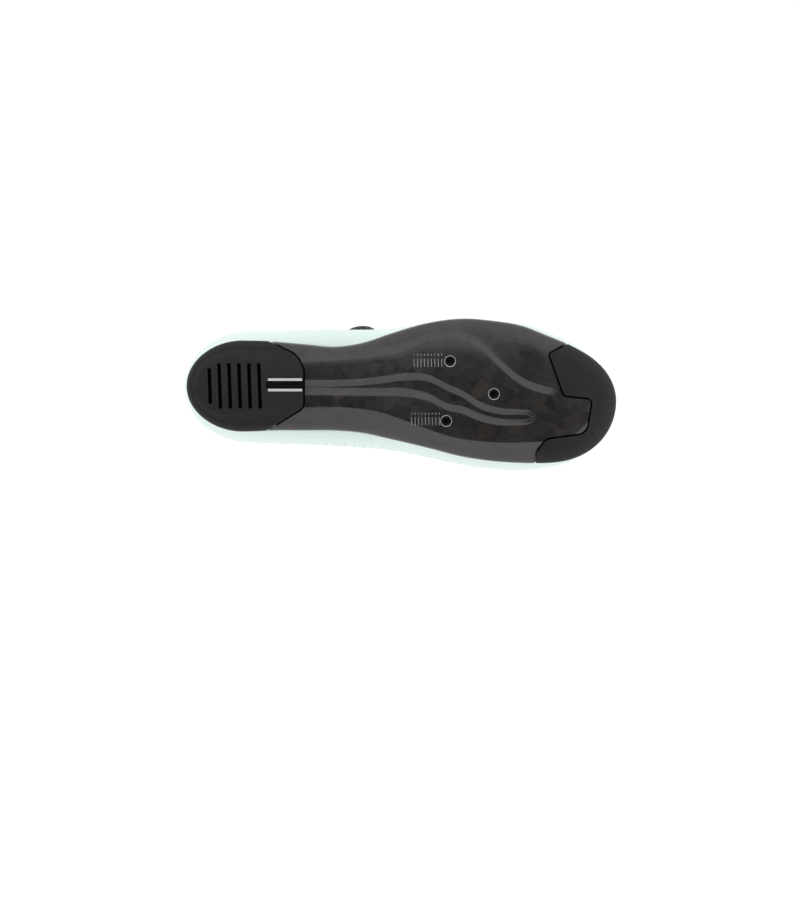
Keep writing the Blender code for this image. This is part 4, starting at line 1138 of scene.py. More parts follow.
toe_bumper = seat_pad(toe_pad(), toe_line, 1.2 * LENGTH, -1)
placed(smoothed(toe_bumper), "tread_rubber", "toe_pad")

# %% [markdown]
# ## Threaded inserts
# Three steel bushes take the cleat's screws: two side by side and one in front of them, all turned a little
# in plan. Their spacing in the photo bears out the shoe's real size.

# %% Places of the inserts
BOLT_WIDTH = 38.6 * MM
BOLT_REACH = 29.6 * MM
BOLT_REAR = 170.7 * MM
CLEAT_TURN = math.radians(3.7)


def bolt_places():
    turned = Matrix.Rotation(CLEAT_TURN, 2)
    rear = Vector((BOLT_REAR, 0))
    return {
        "insert_lateral": rear + turned @ Vector((0, -BOLT_WIDTH / 2)),
        "insert_medial": rear + turned @ Vector((0, BOLT_WIDTH / 2)),
        "insert_front": rear + turned @ Vector((BOLT_REACH, 0)),
    }


bolts = bolt_places()
print("inserts:", {name: [round(v / MM, 1) for v in place] for name, place in bolts.items()})

# %% [markdown]
# On the real shoe the bushes are turned parts: a rounded lip that catches the light, a countersink,
# and a thread. From the countersink inwards the steel is painted nearly black as painted shade. A turned
# part is a profile spun round its axis, and the thread is a row of fine ridges down the bore.

# %% Threaded inserts
INSERT_RADIUS = 3.8 * MM
INSERT_GAP = 0.2 * MM
INSERT_SIDES = 64
DARK_WITHIN = 3.2 * MM
DARK_BELOW = 0.3 * MM

# The bush's profile, in millimetres: radius and height of each ring, from the outside over the lip
INSERT_DEPTH = 4.0
INSERT_LIP = (
    (3.80, INSERT_DEPTH), (3.80, 0.25), (3.74, 0.08), (3.60, 0.00), (3.46, 0.02), (3.34, 0.12), (3.26, 0.35),
    (2.75, 0.95), (2.45, 1.05),
)
THREAD_RADIUS = 2.30
THREAD_RIDGE = 0.16
THREAD_FROM = 1.15
THREAD_STEP = 0.20
THREAD_ROWS = 15


def brushed(name, colour, roughness):
    """Turned metal: its fine rings don't show at this size, so a fine grain stands for them."""
    finish = Finish(name, colour, Metallic=1.0, Roughness=roughness)
    grain = finish.noise(0.25 * MM)
    finish.feed(Roughness=roughness - 0.08 + 0.16 * grain)
    finish.tones(finish.noise(2 * MM), dimmed(colour, 0.8), colour)
    return finish.raised(0.006 * MM * grain)


STEEL = brushed("turned_steel", (0.60, 0.60, 0.61), 0.24)
# Painted shade for the countersink and the bore
BORE_SHADE = plain("thread_shadow", (0.02, 0.02, 0.02), 0.22, metallic=1.0)


def circle(radius, z, middle):
    angles = [2 * math.pi * k / INSERT_SIDES for k in range(INSERT_SIDES)]
    return [(middle.x + radius * math.cos(a), middle.y + radius * math.sin(a), z) for a in angles]


def insert(name, middle):
    """One bush, steel outside and painted in shade from its countersink on."""
    made = bmesh.new()
    turns = range(THREAD_ROWS)
    thread = [(THREAD_RADIUS + THREAD_RIDGE * (k % 2), THREAD_FROM + THREAD_STEP * k) for k in turns]
    bottom = (THREAD_RADIUS, INSERT_DEPTH)
    rows = [new_row(made, circle(r * MM, z * MM, middle)) for r, z in [*INSERT_LIP, *thread, bottom]]
    skin(made, [*rows, rows[0]])
    for face in made.faces:
        there = face.calc_center_median()
        face.material_index = int((there.xy - middle).length < DARK_WITHIN and there.z > DARK_BELOW)
    return finished(name + "_bush", made, STEEL, BORE_SHADE, sharp=25)


def drill(middle):
    """The plate's hole for an insert."""
    made = bmesh.new()
    ends = (-CUT_PAST, 3 * PLATE_THICK)
    capped(made, [new_row(made, circle(INSERT_RADIUS + INSERT_GAP, z, middle)) for z in ends])
    # The hole's walls take a painted shade
    return finished("drill", made, GROOVE_SHADE)


for name, middle in bolts.items():
    cut(plate, drill(middle))
    placed(insert(name, middle), "steel", name)
placed(smoothed(plate, 40), "carbon", "sole_plate")

# %% [markdown]
# ## Index marks
# Beside each rear insert a printed scale helps the rider set both cleats alike. The strokes and plain
# numbers are ink, a few hundredths of a millimetre thick. Painting them in a shader would need an image, so
# they are thin strips and flattened numerals that stand just proud of the plate.

# %% Index marks
MARKS = 9
MARK_PITCH = 2.22 * MM
MARK_LENGTH = 5.2 * MM
MARK_WIDTH = 0.42 * MM
NUMERAL_SIZE = 2.0 * MM
INK = 0.04 * MM
MARK_SCALES = table(
    "name first strokes numerals",
    ("marks_lateral", 148.8, 18.2, 23.6),
    ("marks_medial", 147.2, -19.4, -14.4),
)


def numeral(text):
    """The mesh of one flat numeral."""
    curve = bpy.data.curves.new("numeral", "FONT")
    curve.body = text
    curve.size = NUMERAL_SIZE
    curve.align_x = "CENTER"
    curve.resolution_u = 2
    curve.offset = 0.03 * MM
    return curve_mesh(curve)


def mark_scale(scale):
    made = bmesh.new()
    seen_from_below = Matrix.Diagonal((1, -1, -1, 1))
    for k in range(MARKS):
        x = scale.first * MM + k * MARK_PITCH
        box(made, (x, -scale.strokes * MM, -INK / 2), (MARK_WIDTH, MARK_LENGTH, INK), -SLOT_SLANT)
        mesh = numeral(str(k + 1))
        mesh.transform(Matrix.Translation((x, -(scale.numerals - 0.9) * MM, -INK)) @ seen_from_below)
        made.from_mesh(mesh)
        bpy.data.meshes.remove(mesh)
    return finished(scale.name, made, PRINT)


for scale in MARK_SCALES:
    placed(mark_scale(scale), "carbon")

# %% [markdown]
# ## The upper's form
# The upper is one wall round a last. A rib stands on each station of the sole's edge: it swells out to the
# widest line, then leans in to the edge of the collar or the throat. Two cubic arcs per rib give that form,
# and two tables say how far it swells and where it ends. A sculpted mesh could look the same from one side,
# but ribs also give every point a place, a level and a direction outwards, which seams and creases need
# later.

# %% Tables of the upper
UPPER_BULGE = table(
    "at lateral medial lateral_z medial_z",
    (0.00, 0.026, 0.026, 0.95, 0.95),
    (0.07, 0.059, 0.050, 0.98, 0.98),
    (0.14, 0.077, 0.071, 1.00, 1.00),
    (0.215, 0.090, 0.090, 0.99, 1.00),
    (0.285, 0.116, 0.097, 0.97, 1.00),
    (0.35, 0.133, 0.106, 0.94, 0.99),
    (0.41, 0.111, 0.106, 0.90, 0.97),
    (0.48, 0.050, 0.078, 0.83, 0.93),
    (0.565, 0.010, 0.066, 0.74, 0.82),
    (0.643, -0.002, 0.060, 0.70, 0.76),
    (0.714, 0.008, 0.058, 0.70, 0.75),
    (0.786, 0.030, 0.052, 0.71, 0.75),
    (0.84, 0.038, 0.038, 0.72, 0.76),
    (0.893, 0.025, 0.014, 0.76, 0.78),
    (1.00, -0.004, -0.004, 0.80, 0.80),
)
TOPLINE = table(
    "at centre half lateral_z medial_z lean",
    (0.032, 0.036, 0.255, 0.870, 0.870, 8),
    (0.107, 0.036, 0.265, 0.815, 0.825, 10),
    (0.180, 0.036, 0.285, 0.700, 0.735, 14),
    (0.250, 0.034, 0.292, 0.660, 0.705, 18),
    (0.320, 0.028, 0.272, 0.735, 0.770, 26),
    (0.371, 0.012, 0.224, 0.885, 0.905, 36),
    (0.410, -0.005, 0.170, 0.985, 1.000, 44),
    (0.482, -0.032, 0.132, 0.900, 0.912, 52),
    (0.571, -0.054, 0.114, 0.775, 0.785, 60),
    (0.660, -0.070, 0.098, 0.670, 0.678, 69),
    (0.729, -0.080, 0.094, 0.612, 0.612, 76),
)
bulge, top_table = columns(UPPER_BULGE), columns(TOPLINE)
COLLAR_BACK = 9 * MM
THROAT_END = 204 * MM
COLLAR_ROUND = 30 * MM
THROAT_ROUND = 9 * MM
RIB_SWEEP = 0.125


def widest(s, side):
    """The upper's widest line."""
    plan, out = sole_edge(s, side)
    at = plan[:, 0] / LENGTH
    over = by_side(side, bulge.lateral(at), bulge.medial(at)) * BALL_WIDTH
    z = by_side(side, bulge.lateral_z(at), bulge.medial_z(at)) * BULGE_HEIGHT
    return np.column_stack([plan + out * over[:, None], z])


def topline(s, side):
    """The edge of the collar and the throat, and how far the wall leans in there, in radians."""
    ends = (COLLAR_BACK, THROAT_END, COLLAR_ROUND, THROAT_ROUND)
    x = stretch(s + RIB_SWEEP * s * np.sin(math.pi * s), *ends)
    at = x / LENGTH
    half = top_table.half(at) * end_round(x, *ends)
    y = -(top_table.centre(at) + side * half) * BALL_WIDTH
    z = by_side(side, top_table.lateral_z(at), top_table.medial_z(at)) * INSTEP_HEIGHT
    return np.column_stack([x, y, z]), np.radians(top_table.lean(at))


print("collar at the heel:", round(float(top_table.lateral_z(0.032)) * INSTEP_HEIGHT / MM, 1), "mm high")

# %% [markdown]
# A grid of points holds the whole wall: a column of levels up each rib. The same grid, moved inwards by the
# wall's thickness, is its inside. The thickness grows round the collar, where foam lies between the layers.

# %% The wall's grid
WALL = 1.8 * MM
COLLAR_PAD = 2.6 * MM
COLLAR_FRONT = 108 * MM
FEATHER_SET_IN = 0.2 * MM
FEATHER_SPREAD = 0.6
FOOT_RISE = 0.25
WAIST_RISE = 0.45
RIB_FULL = 0.36
RIB_STEEPEST = 0.6
LOW_LEVELS = 10
HIGH_LEVELS = 34
UP = np.array([0.0, 0.0, 1.0])


def bezier(a, b, c, d, t):
    return (1 - t) ** 3 * a + 3 * t * (1 - t) ** 2 * b + 3 * t * t * (1 - t) * c + t**3 * d


def plan_reach(v):
    """The longer of each vector's two parts in plan."""
    return np.abs(v[:, :2]).max(axis=1)[:, None]


class Wall:
    """The upper's skin: ribs that rise from the sole's edge at level -1 to the topline at level 1."""

    def __init__(self, stations):
        self.s, self.side = loop_sections(stations)
        plan, out = sole_edge(self.s, self.side)
        self.inward = np.column_stack([-out, np.zeros(len(out))])
        foot = np.column_stack([plan - out * FEATHER_SET_IN, rim(plan[:, 0]) + CLEARANCE])
        wide = widest(self.s, self.side)
        top, lean = topline(self.s, self.side)
        lift = (wide - foot)[:, 2:3]
        foot_to = foot - self.inward * plan_reach(wide - foot) * FEATHER_SPREAD + UP * lift * FOOT_RISE
        reach = np.linalg.norm(top - wide, axis=1)[:, None]
        inwards = unit((top - wide) * (1 - UP))
        arrive = inwards * np.sin(lean)[:, None] + UP * np.cos(lean)[:, None]
        rise = np.minimum(RIB_FULL * reach, RIB_STEEPEST * (top - wide)[:, 2:3])
        low_steps, high_steps = np.linspace(0, 1, LOW_LEVELS + 1)[:-1], np.linspace(0, 1, HIGH_LEVELS)
        low = [bezier(foot, foot_to, wide - UP * lift * WAIST_RISE, wide, t) for t in low_steps]
        high = [bezier(wide, wide + UP * rise, top - arrive * RIB_FULL * reach, top, t) for t in high_steps]
        self.points = np.stack(low + high, axis=1)
        self.levels = np.concatenate([-1 + low_steps, high_steps])
        self.normals = self.outward()
        self.top_at = top[:, 0]

    def outward(self):
        round_shoe = np.roll(self.points, -1, axis=0) - np.roll(self.points, 1, axis=0)
        normal = unit(np.cross(np.gradient(self.points, axis=1), round_shoe))
        normal *= np.sign((normal[:, LOW_LEVELS] * -self.inward).sum())
        normal[:, 0] = -self.inward
        return normal

    def upward(self):
        """Each rib's direction where it ends at the topline."""
        return unit(self.points[:, -1] - self.points[:, -2])

    def thickness(self):
        """Wall of each point: thin over the foot, and padded round the collar."""
        collar = 1 - ease((self.top_at - 0.82 * COLLAR_FRONT) / (0.25 * COLLAR_FRONT))
        return WALL + COLLAR_PAD * collar[:, None] * ease((self.levels - 0.15) / 0.55)[None, :]

    def offset(self, depth):
        """The grid moved inwards along its normals by depth, a number or one for each point."""
        return self.points - self.normals * (depth * np.ones(self.points.shape[:2]))[:, :, None]


WALL_STATIONS = 170
wall = Wall(WALL_STATIONS)
print("wall grid:", wall.points.shape[:2])

# %% [markdown]
# ## Mint microfibre
# The upper is thin synthetic leather with a matt, pale mint face. Its grain is finer than a millimetre, so
# it is bump from two scales of noise. Long soft swells keep it from looking like sprayed plastic. Grooves
# and stitches follow the panels' edges, read from a map that the shell carries: how far along the topline a
# point lies, and how far below it. The grooves are painted darker as painted shade, and the stitches are
# darker too. The lining is a darker, softer knit from the same function, without seams.

# %% Mint microfibre
MINT = (0.745, 0.875, 0.835)
LINING = (0.42, 0.50, 0.48)
EYESTAY_WIDTH = 13 * MM
COLLAR_SEAM = 15 * MM
STITCH_PITCH = 2.8 * MM
STITCH_SET_IN = 1.7 * MM


def thin_line(distance, half=0.3 * MM):
    return 1 - abs(distance).over(0.5 * half, half)


def seams_and_stitches(finish):
    """1 in the groove along each panel's edge, and 1 on each stitch beside it."""
    skin_map = finish.node("ShaderNodeUVMap", {"uv_map": "skin"}, {}, "UV")
    along, down = finish.axis(skin_map, 0), finish.axis(skin_map, 1)
    throat = finish.axis(finish.place, 0).over(96 * MM, 124 * MM)
    seam = COLLAR_SEAM + (EYESTAY_WIDTH - COLLAR_SEAM) * throat
    groove = thin_line(down - seam)
    rows = thin_line(down - 2.4 * MM) + thin_line(down - seam + STITCH_SET_IN)
    return groove, rows * along.wave(STITCH_PITCH).over(-0.3, 0.0)


def microfibre(name, colour, roughness, grain_size, grain_height, seamed=False):
    finish = Finish(name, colour, Roughness=roughness, Specular_IOR_Level=0.35, Sheen_Weight=0.05)
    grain = finish.noise(grain_size, 4.0, 0.6)
    swell = finish.noise(25 * MM)
    face = finish.mixed(0.5 * grain + 0.5 * swell, dimmed(colour, 0.965), colour)
    height = grain_height * grain + 0.25 * MM * swell
    if seamed:
        groove, stitch = seams_and_stitches(finish)
        # Painted shade in the seams' grooves; the stitches are darkened too
        face = finish.mixed(0.85 * groove + 0.45 * stitch, face, dimmed(colour, 0.42))
        height = height - 0.30 * MM * groove + 0.20 * MM * stitch
    finish.feed(Base_Color=face, Roughness=roughness - 0.05 + 0.1 * grain)
    return finish.raised(height)


SHELL = microfibre("mint_microfibre", MINT, 0.48, 0.9 * MM, 0.02 * MM, seamed=True)
LINER = microfibre("knit_lining", LINING, 0.85, 1.6 * MM, 0.12 * MM)
# Painted shade standing for the dark insides of the holes
PINHOLE_SHADE = plain("pinhole_shadow", (0.05, 0.055, 0.055), 0.9, specular=0.1)
print("mint:", MINT)

# %% [markdown]
# ## Panels, creases and seams
# On the real shoe a reinforcing panel runs round the throat, and a welded band closes the toe. Each is a
# step of a few tenths of a millimetre in the skin. Wear also leaves soft troughs across the forefoot. We
# could sculpt these, but as functions of place and level they follow the shoe's own sizes. All of it lies a
# little inwards, because so fine a skin bulges past the flat faces of the solids that it stands for.

# %% Panels and creases
PANEL_RISE = 0.45 * MM
FINER_BULGE = 0.15 * MM
CREASES = table(
    "x w_from w_to slant width depth",
    (0.660, -0.46, -0.05, 0.10, 5.0, 0.50),
    (0.700, -0.42, 0.30, -0.04, 6.0, 0.40),
    (0.735, -0.38, 0.34, 0.05, 5.0, 0.30),
)


def from_edge(grid):
    """Distance of each point of the wall from the topline, measured down its rib."""
    steps = np.linalg.norm(np.diff(grid, axis=1), axis=2)
    return np.concatenate([np.cumsum(steps[:, ::-1], axis=1)[:, ::-1], np.zeros((len(grid), 1))], axis=1)


def panel_rise(wall):
    """Zero on the panels, and a step lower between them, so the dressed shoe keeps its solids' size."""
    x, z = wall.points[:, :, 0], wall.points[:, :, 2]
    edge = from_edge(wall.points)
    throat = ease((wall.top_at - 1.02 * COLLAR_FRONT) / (8 * MM))[:, None]
    eyestay = throat * (1 - ease((edge - EYESTAY_WIDTH) / (0.8 * MM)))
    toe_line = 243 * MM + 0.2 * (z - 30 * MM)
    toe = ease((x - toe_line) / (0.9 * MM)) * (1 - ease((z - land(x) - 30 * MM) / (0.8 * MM)))
    vamp = ease((x - 90 * MM) / (20 * MM))
    return PANEL_RISE * (np.maximum(eyestay, toe) - 1) * vamp


def crease_depth(wall):
    x, w = wall.points[:, :, 0] / LENGTH, -wall.points[:, :, 1] / BALL_WIDTH
    over = ease((wall.levels - 0.25) / 0.3)[None, :]
    total = np.zeros(x.shape)
    for crease in CREASES:
        away = (x - crease.x - crease.slant * w) * LENGTH / (crease.width * MM)
        span = ease((w - crease.w_from) / 0.1) * ease((crease.w_to - w) / 0.1)
        form = np.exp(-(away**2)) - 0.5 * np.exp(-((np.abs(away) - 1.7) ** 2))
        total += crease.depth * MM * form * span * over
    return total


lift = panel_rise(wall) - crease_depth(wall) - FINER_BULGE
print("the skin lies", round(float(-lift.min()) / MM, 2), "mm under the panels at most")

# %% [markdown]
# The shell is the outer grid, a rolled edge and the inner grid, closed underneath. Its rim is a half round
# from the outside to the inside, because a collar is turned over and stitched, not cut off. Faces that look
# into the shoe take the lining.

# %% The upper
RIM_STEPS = 6


def rolled_rim(outer, inner, wall):
    """Rows over the topline's edge: a half circle from the outer grid's last row to the inner one's."""
    middle, half = 0.5 * (outer + inner), 0.5 * (outer - inner)
    reach = 0.55 * np.linalg.norm(half, axis=1)[:, None]
    angles = [math.pi * k / RIM_STEPS for k in range(1, RIM_STEPS)]
    return [middle + half * math.cos(a) + wall.upward() * reach * math.sin(a) for a in angles]


def skin_places(wall):
    """How far along the topline, from the heel, and how far below it each point of the wall lies."""
    edge = wall.points[:, -1]
    steps = np.linalg.norm(np.roll(edge, -1, axis=0) - edge, axis=1)
    run = np.concatenate([[0.0], np.cumsum(steps)[:-1]])
    return np.minimum(run, steps.sum() - run), from_edge(wall.points)


def mapped(made, skins, wall):
    """Write those two distances into the shell's map; the rim and the inside lie far from any seam."""
    along, down = skin_places(wall)
    known = {row[i]: (along[i], down[i, k]) for k, row in enumerate(skins) for i in range(len(row))}
    layer = made.loops.layers.uv.new("skin")
    for face in made.faces:
        outside = all(vert in known for vert in face.verts)
        for loop in face.loops:
            loop[layer].uv = known[loop.vert] if outside else (1, 1)


def upper(wall, lift):
    outer = wall.offset(-lift)
    inner = wall.offset(wall.thickness())
    made = bmesh.new()
    skins = [new_row(made, outer[:, k]) for k in range(outer.shape[1])]
    rim_rows = [new_row(made, row) for row in rolled_rim(outer[:, -1], inner[:, -1], wall)]
    inside = [new_row(made, inner[:, k]) for k in reversed(range(inner.shape[1]))]
    skin(made, [*skins, *rim_rows])
    skin(made, [rim_rows[-1], *inside, skins[0]], material=1)
    mapped(made, skins, wall)
    return finished("upper_shell", made, SHELL, LINER, sharp=60)


shell = upper(wall, lift)
shell_tree = surface(shell)
placed(shell, "mint_shell", "upper")

# %% [markdown]
# ## Pinholes
# Rows of pinholes let air in along the inner side. Each is under a millimetre wide. Real holes would need
# nearly a hundred cuts, so small dark dimples in a painted shade stand for them on the skin: rays find the
# surface, and each dimple lies along it. The photo shows loose rows along the arch; those on the outer side
# and the toe are guessed.

# %% Pinholes
HOLE_RADIUS = 0.42 * MM
HOLE_SIDES = 10
HOLE_ROW = "x_from x_to up_from up_to count sway"
MEDIAL_ROWS = table(
    HOLE_ROW,
    (86, 170, 33.0, 24.0, 15, 0.8),
    (92, 166, 38.5, 30.5, 13, 0.8),
    (98, 162, 44.0, 37.0, 11, 0.7),
    (104, 158, 49.5, 43.5, 9, 0.7),
)
LATERAL_ROWS = table(HOLE_ROW, (150, 214, 40.0, 33.0, 12, 0.8), (156, 208, 45.5, 39.5, 10, 0.7))
TOE_PLACES = (222, 229, 236, 243)
toe_row_values = [(x, x + 1.5, 2 * k - 14, 16 - 2 * k, 8 - k, 0.5) for k, x in enumerate(TOE_PLACES)]
TOE_ROWS = table(HOLE_ROW, *toe_row_values)


def dimple(made, tree, start, direction):
    there, normal, _, _ = tree.ray_cast(start, direction)
    if there is None:
        return
    turn = normal.to_track_quat("Z", "Y").to_matrix()
    angles = [2 * math.pi * k / HOLE_SIDES for k in range(HOLE_SIDES)]
    rings = []
    for radius, height in ((HOLE_RADIUS, 0.03 * MM), (0.7 * HOLE_RADIUS, 0.06 * MM)):
        around = [Vector((radius * math.cos(a), radius * math.sin(a), height)) for a in angles]
        rings.append(new_row(made, [there + turn @ point for point in around]))
    skin(made, rings)
    made.faces.new(rings[-1])


def hole_rows(made, tree, rows, start_of, direction):
    for row in rows:
        for k in range(row.count):
            t = k / (row.count - 1)
            along = row.x_from + (row.x_to - row.x_from) * t
            up = row.up_from + (row.up_to - row.up_from) * t + row.sway * (-1) ** k
            dimple(made, tree, start_of(along, up), direction)


def pinholes(tree):
    """Holes shot from outside the shoe: from both sides, and from above for the toe."""
    made = bmesh.new()
    away = 0.2
    hole_rows(made, tree, MEDIAL_ROWS, lambda x, z: Vector((x * MM, away, z * MM)), Vector((0, -1, 0)))
    hole_rows(made, tree, LATERAL_ROWS, lambda x, z: Vector((x * MM, -away, z * MM)), Vector((0, 1, 0)))
    hole_rows(made, tree, TOE_ROWS, lambda x, y: Vector((x * MM, y * MM, away)), Vector((0, 0, -1)))
    return finished("pinholes", made, PINHOLE_SHADE)


placed(pinholes(shell_tree), "mint_shell")

# %% [markdown]
# ## Insole
# The footbed is foam under a brushed cloth, a little lower than the plate's ledge. It shows through the
# collar alone, so a slab with a soft edge is enough.

# %% Insole
INSOLE_THICK = 4 * MM


def footbed_cloth():
    finish = Finish("footbed_cloth", (0.05, 0.05, 0.055), Roughness=0.9)
    weave = finish.noise(0.7 * MM, 3.0, 0.7)
    finish.tones(weave, (0.035, 0.036, 0.040), (0.070, 0.070, 0.075))
    return finish.raised(0.15 * MM * weave)


def insole():
    edge = LEDGE + 2 * CLEARANCE
    gap = 1.6 * CLEARANCE
    rings = [(PLATE_SHOULDER + 1.4 * MM, gap), (1.4 * MM, gap + 1.3 * MM), (0.0, gap + 1.9 * MM)]
    over = [(0.0, INSOLE_THICK + 0.8 * MM), (0.5 * MM, INSOLE_THICK + 1.2 * MM), (3.5 * MM, INSOLE_THICK)]

    def ring(inset, rise):
        return always(edge + inset), lambda x, side: bed(x) + rise

    low, high = [even_rungs(6, lambda x, rise=rise: bed(x) + rise) for rise in (gap, INSOLE_THICK)]
    lower, upper = [[ring(*pair) for pair in pairs] for pairs in (rings, over)]
    return slab("insole_footbed", 120, lower, low, upper, high, footbed_cloth())


footbed = placed(insole(), "insole_foam", "insole")

# %% [markdown]
# ## Tongue
# The tongue is a padded sheet under the throat. Its wings lie against the upper's inside, and its top
# stands up over the collar. We take the throat's own edge for its sections, push them clear of the upper,
# give them a thickness and let a subdivision round it all. Cloth simulation would be another way, but a
# tongue this stiff keeps its moulded form.

# %% Tongue sections
TONGUE_THICK = 3.2 * MM
TONGUE_DOME = 1.2 * MM
TONGUE_TOP = 27 * MM
TONGUE_LIFT = 5 * MM
TONGUE_TOE = 9 * MM
TONGUE_FROM = 0.413 * LENGTH
TONGUE_TO = THROAT_END - 8 * MM
TONGUE_STATIONS = 15
WING_LEVELS = (0.80, 0.90, 1.0)
TOP_ROWS = ((1.0, 0.53), (0.88, 0.66), (0.70, 0.75), (0.46, 0.81), (0.22, 0.87))


def at_topline(wall, x, side, level):
    """Point and outward normal on the rib that ends at x on the topline."""
    ribs = np.where((wall.side == side) | (wall.s == 0) | (wall.s == 1))[0]
    ribs = ribs[np.argsort(wall.top_at[ribs])]

    def read(grid):
        along = [[np.interp(level, wall.levels, grid[i, :, k]) for i in ribs] for k in range(3)]
        return Vector([float(np.interp(x, wall.top_at[ribs], row)) for row in along])

    return read(wall.points), read(wall.normals).normalized()


def throat_sections(wall):
    """Rows across the throat, from the upper's inside on one side to the other."""
    thick = wall.thickness()[:, -1]
    order = np.argsort(wall.top_at)
    sections = []
    for x in np.linspace(TONGUE_FROM, TONGUE_TO, TONGUE_STATIONS):
        inside = max(WALL, float(np.interp(x, wall.top_at[order], thick[order]))) + CLEARANCE + 0.1 * MM
        wings = {}
        for side in (1, -1):
            skins = [at_topline(wall, x, side, level) for level in WING_LEVELS]
            wings[side] = [point - normal * inside for point, normal in skins]
        lateral, medial = wings[1], wings[-1]
        domes = [(t, Vector((0, 0, TONGUE_DOME * 4 * t * (1 - t)))) for t in (0.25, 0.5, 0.75)]
        arch = [lateral[-1].lerp(medial[-1], t) + dome for t, dome in domes]
        sections.append([*lateral, *arch, *reversed(medial)])
    return sections


def mean(points):
    return sum(points, Vector()) / len(points)


def heading(ahead, behind):
    return mean([a - b for a, b in zip(ahead, behind)]).normalized()


def tongue_sections(wall):
    """All rows of the tongue, from its top to its toe end."""
    sections = throat_sections(wall)
    first, last = sections[0], sections[-1]
    up, middle = heading(first, sections[2]), mean(first)
    top = []
    for share, narrow in TOP_ROWS:
        rise = up * TONGUE_TOP * share + Vector((0, 0, TONGUE_LIFT * share**2))
        row = [middle.lerp(p, narrow) + rise for p in first]
        for _ in range(round(8 * share)):
            row = [row[0], *[(a + 2 * p + b) / 4 for a, p, b in zip(row, row[1:], row[2:])], row[-1]]
        top.append(row)
    forward = heading(last, sections[-2])
    toe = [[p + forward * TONGUE_TOE * t - Vector((0, 0, 0.9 * MM * t)) for p in last] for t in (0.5, 1.0)]
    return [*top, *sections, *toe]


sections = tongue_sections(wall)
print("tongue rows:", len(sections), "of", len(sections[0]), "points")

# %% [markdown]
# Two skins over these rows, one the tongue's thickness below the other, and strips round their edges make
# the pad. Normals taken straight from so coarse a grid would pinch it at its corners, so they are averaged
# with their neighbours first.

# %% The tongue
TONGUE_CLEAR = 1.5 * MM
CLEAR_STEPS = 8
CLEAR_STEP = 1 * MM
NORMAL_PASSES = 3
MESH_PITCH = 1.6 * MM


def clear_of(tree, sections):
    """Push each point inwards until it clears the upper."""
    for section in sections:
        inside = mean(section) - Vector((0, 0, TONGUE_TOP))
        for k in range(len(section)):
            for _ in range(CLEAR_STEPS):
                there, away, _, _ = tree.find_nearest(section[k])
                short = TONGUE_CLEAR - (section[k] - there).dot(away)
                if short > 0:
                    section[k] = section[k] + (inside - section[k]).normalized() * min(short, CLEAR_STEP)
    return np.array([[list(p) for p in section] for section in sections])


def soft_normals(grid):
    normal = np.cross(np.gradient(grid, axis=0), np.gradient(grid, axis=1))
    normal *= np.sign(normal[:, :, 2].sum())
    for _ in range(NORMAL_PASSES):
        edged = np.pad(unit(normal), [(1, 1), (1, 1), (0, 0)], mode="edge")
        beside = edged[:-2, 1:-1] + edged[2:, 1:-1] + edged[1:-1, :-2] + edged[1:-1, 2:]
        normal = edged[1:-1, 1:-1] * 2 + beside
    return unit(normal)


def tongue_mesh(colour):
    """Padded mesh: a fine honeycomb of pits over soft foam."""
    finish = Finish("tongue_mesh", colour, Roughness=0.8)
    pit = 1 - finish.cells(finish.place, MESH_PITCH, "Distance", 0.15).over(0.1, 0.45)
    finish.tones(pit, colour, dimmed(colour, 0.55))
    return finish.raised(-0.25 * MM * pit + 0.3 * MM * finish.noise(9 * MM))


def tongue(grid):
    below = grid - soft_normals(grid) * TONGUE_THICK
    made = bmesh.new()
    high, low = [[new_row(made, row) for row in rows] for rows in (grid, below)]
    ends = [[high[edge], low[edge]] for edge in (0, -1)]
    sides = [[[row[edge] for row in rows] for rows in (high, low)] for edge in (0, -1)]
    for rows in (high, low, *ends, *sides):
        skin(made, rows, closed=False)
    piece = finished("tongue_pad", made, tongue_mesh((0.50, 0.60, 0.58)), sharp=180)
    step = piece.modifiers.new("round", "SUBSURF")
    step.levels = step.render_levels = 2
    return applied(piece)


tongue_pad = tongue(clear_of(shell_tree, sections))
tongue_tree = surface(tongue_pad)
placed(tongue_pad, "tongue_fabric", "tongue")

# %% [markdown]
# ## Lace dial
# A turning knob on a flat base winds the thin lace. In the photo only the rim of its knurl shows over the
# sole's edge. A ray from the outer side finds where the dial sits on the skin, and the skin's own grid makes
# a block that will cut the base to its curve.

# %% The dial's seat
DIAL_AT = 114.6 * MM
DIAL_UP = 64 * MM
DIAL_RADIUS = 11.6 * MM
DIAL_BASE_RADIUS = 12.8 * MM
DIAL_TEETH = 20
DIAL_TOOTH = 0.7 * MM
KNOB_STEPS = 10
SKIN_BLOCK_DEPTH = 7 * MM
SKIN_BLOCK_RISE = 3 * MM


def frame_on(point, normal, along):
    """Axes for a piece on the skin: its z along the normal, its x as near along as it can be."""
    z = normal.normalized()
    y = z.cross(along).normalized()
    return Matrix.Translation(point) @ Matrix((y.cross(z), y, z)).transposed().to_4x4()


def skin_block(wall, rise):
    """The upper's wall as a cutter, grown by the clearance and carried on past the topline."""
    outer, inner = wall.offset(-CLEARANCE), wall.offset(SKIN_BLOCK_DEPTH)
    made = bmesh.new()
    rows = [new_row(made, outer[:, k]) for k in range(outer.shape[1])]
    above = wall.points[:, -1] - wall.normals[:, -1] * 2 * MM + wall.upward() * rise
    rows.append(new_row(made, above))
    rows += [new_row(made, inner[:, k]) for k in reversed(range(inner.shape[1]))]
    skin(made, [*rows, rows[0]])
    return finished("skin_block", made, DIAL_BLACK)


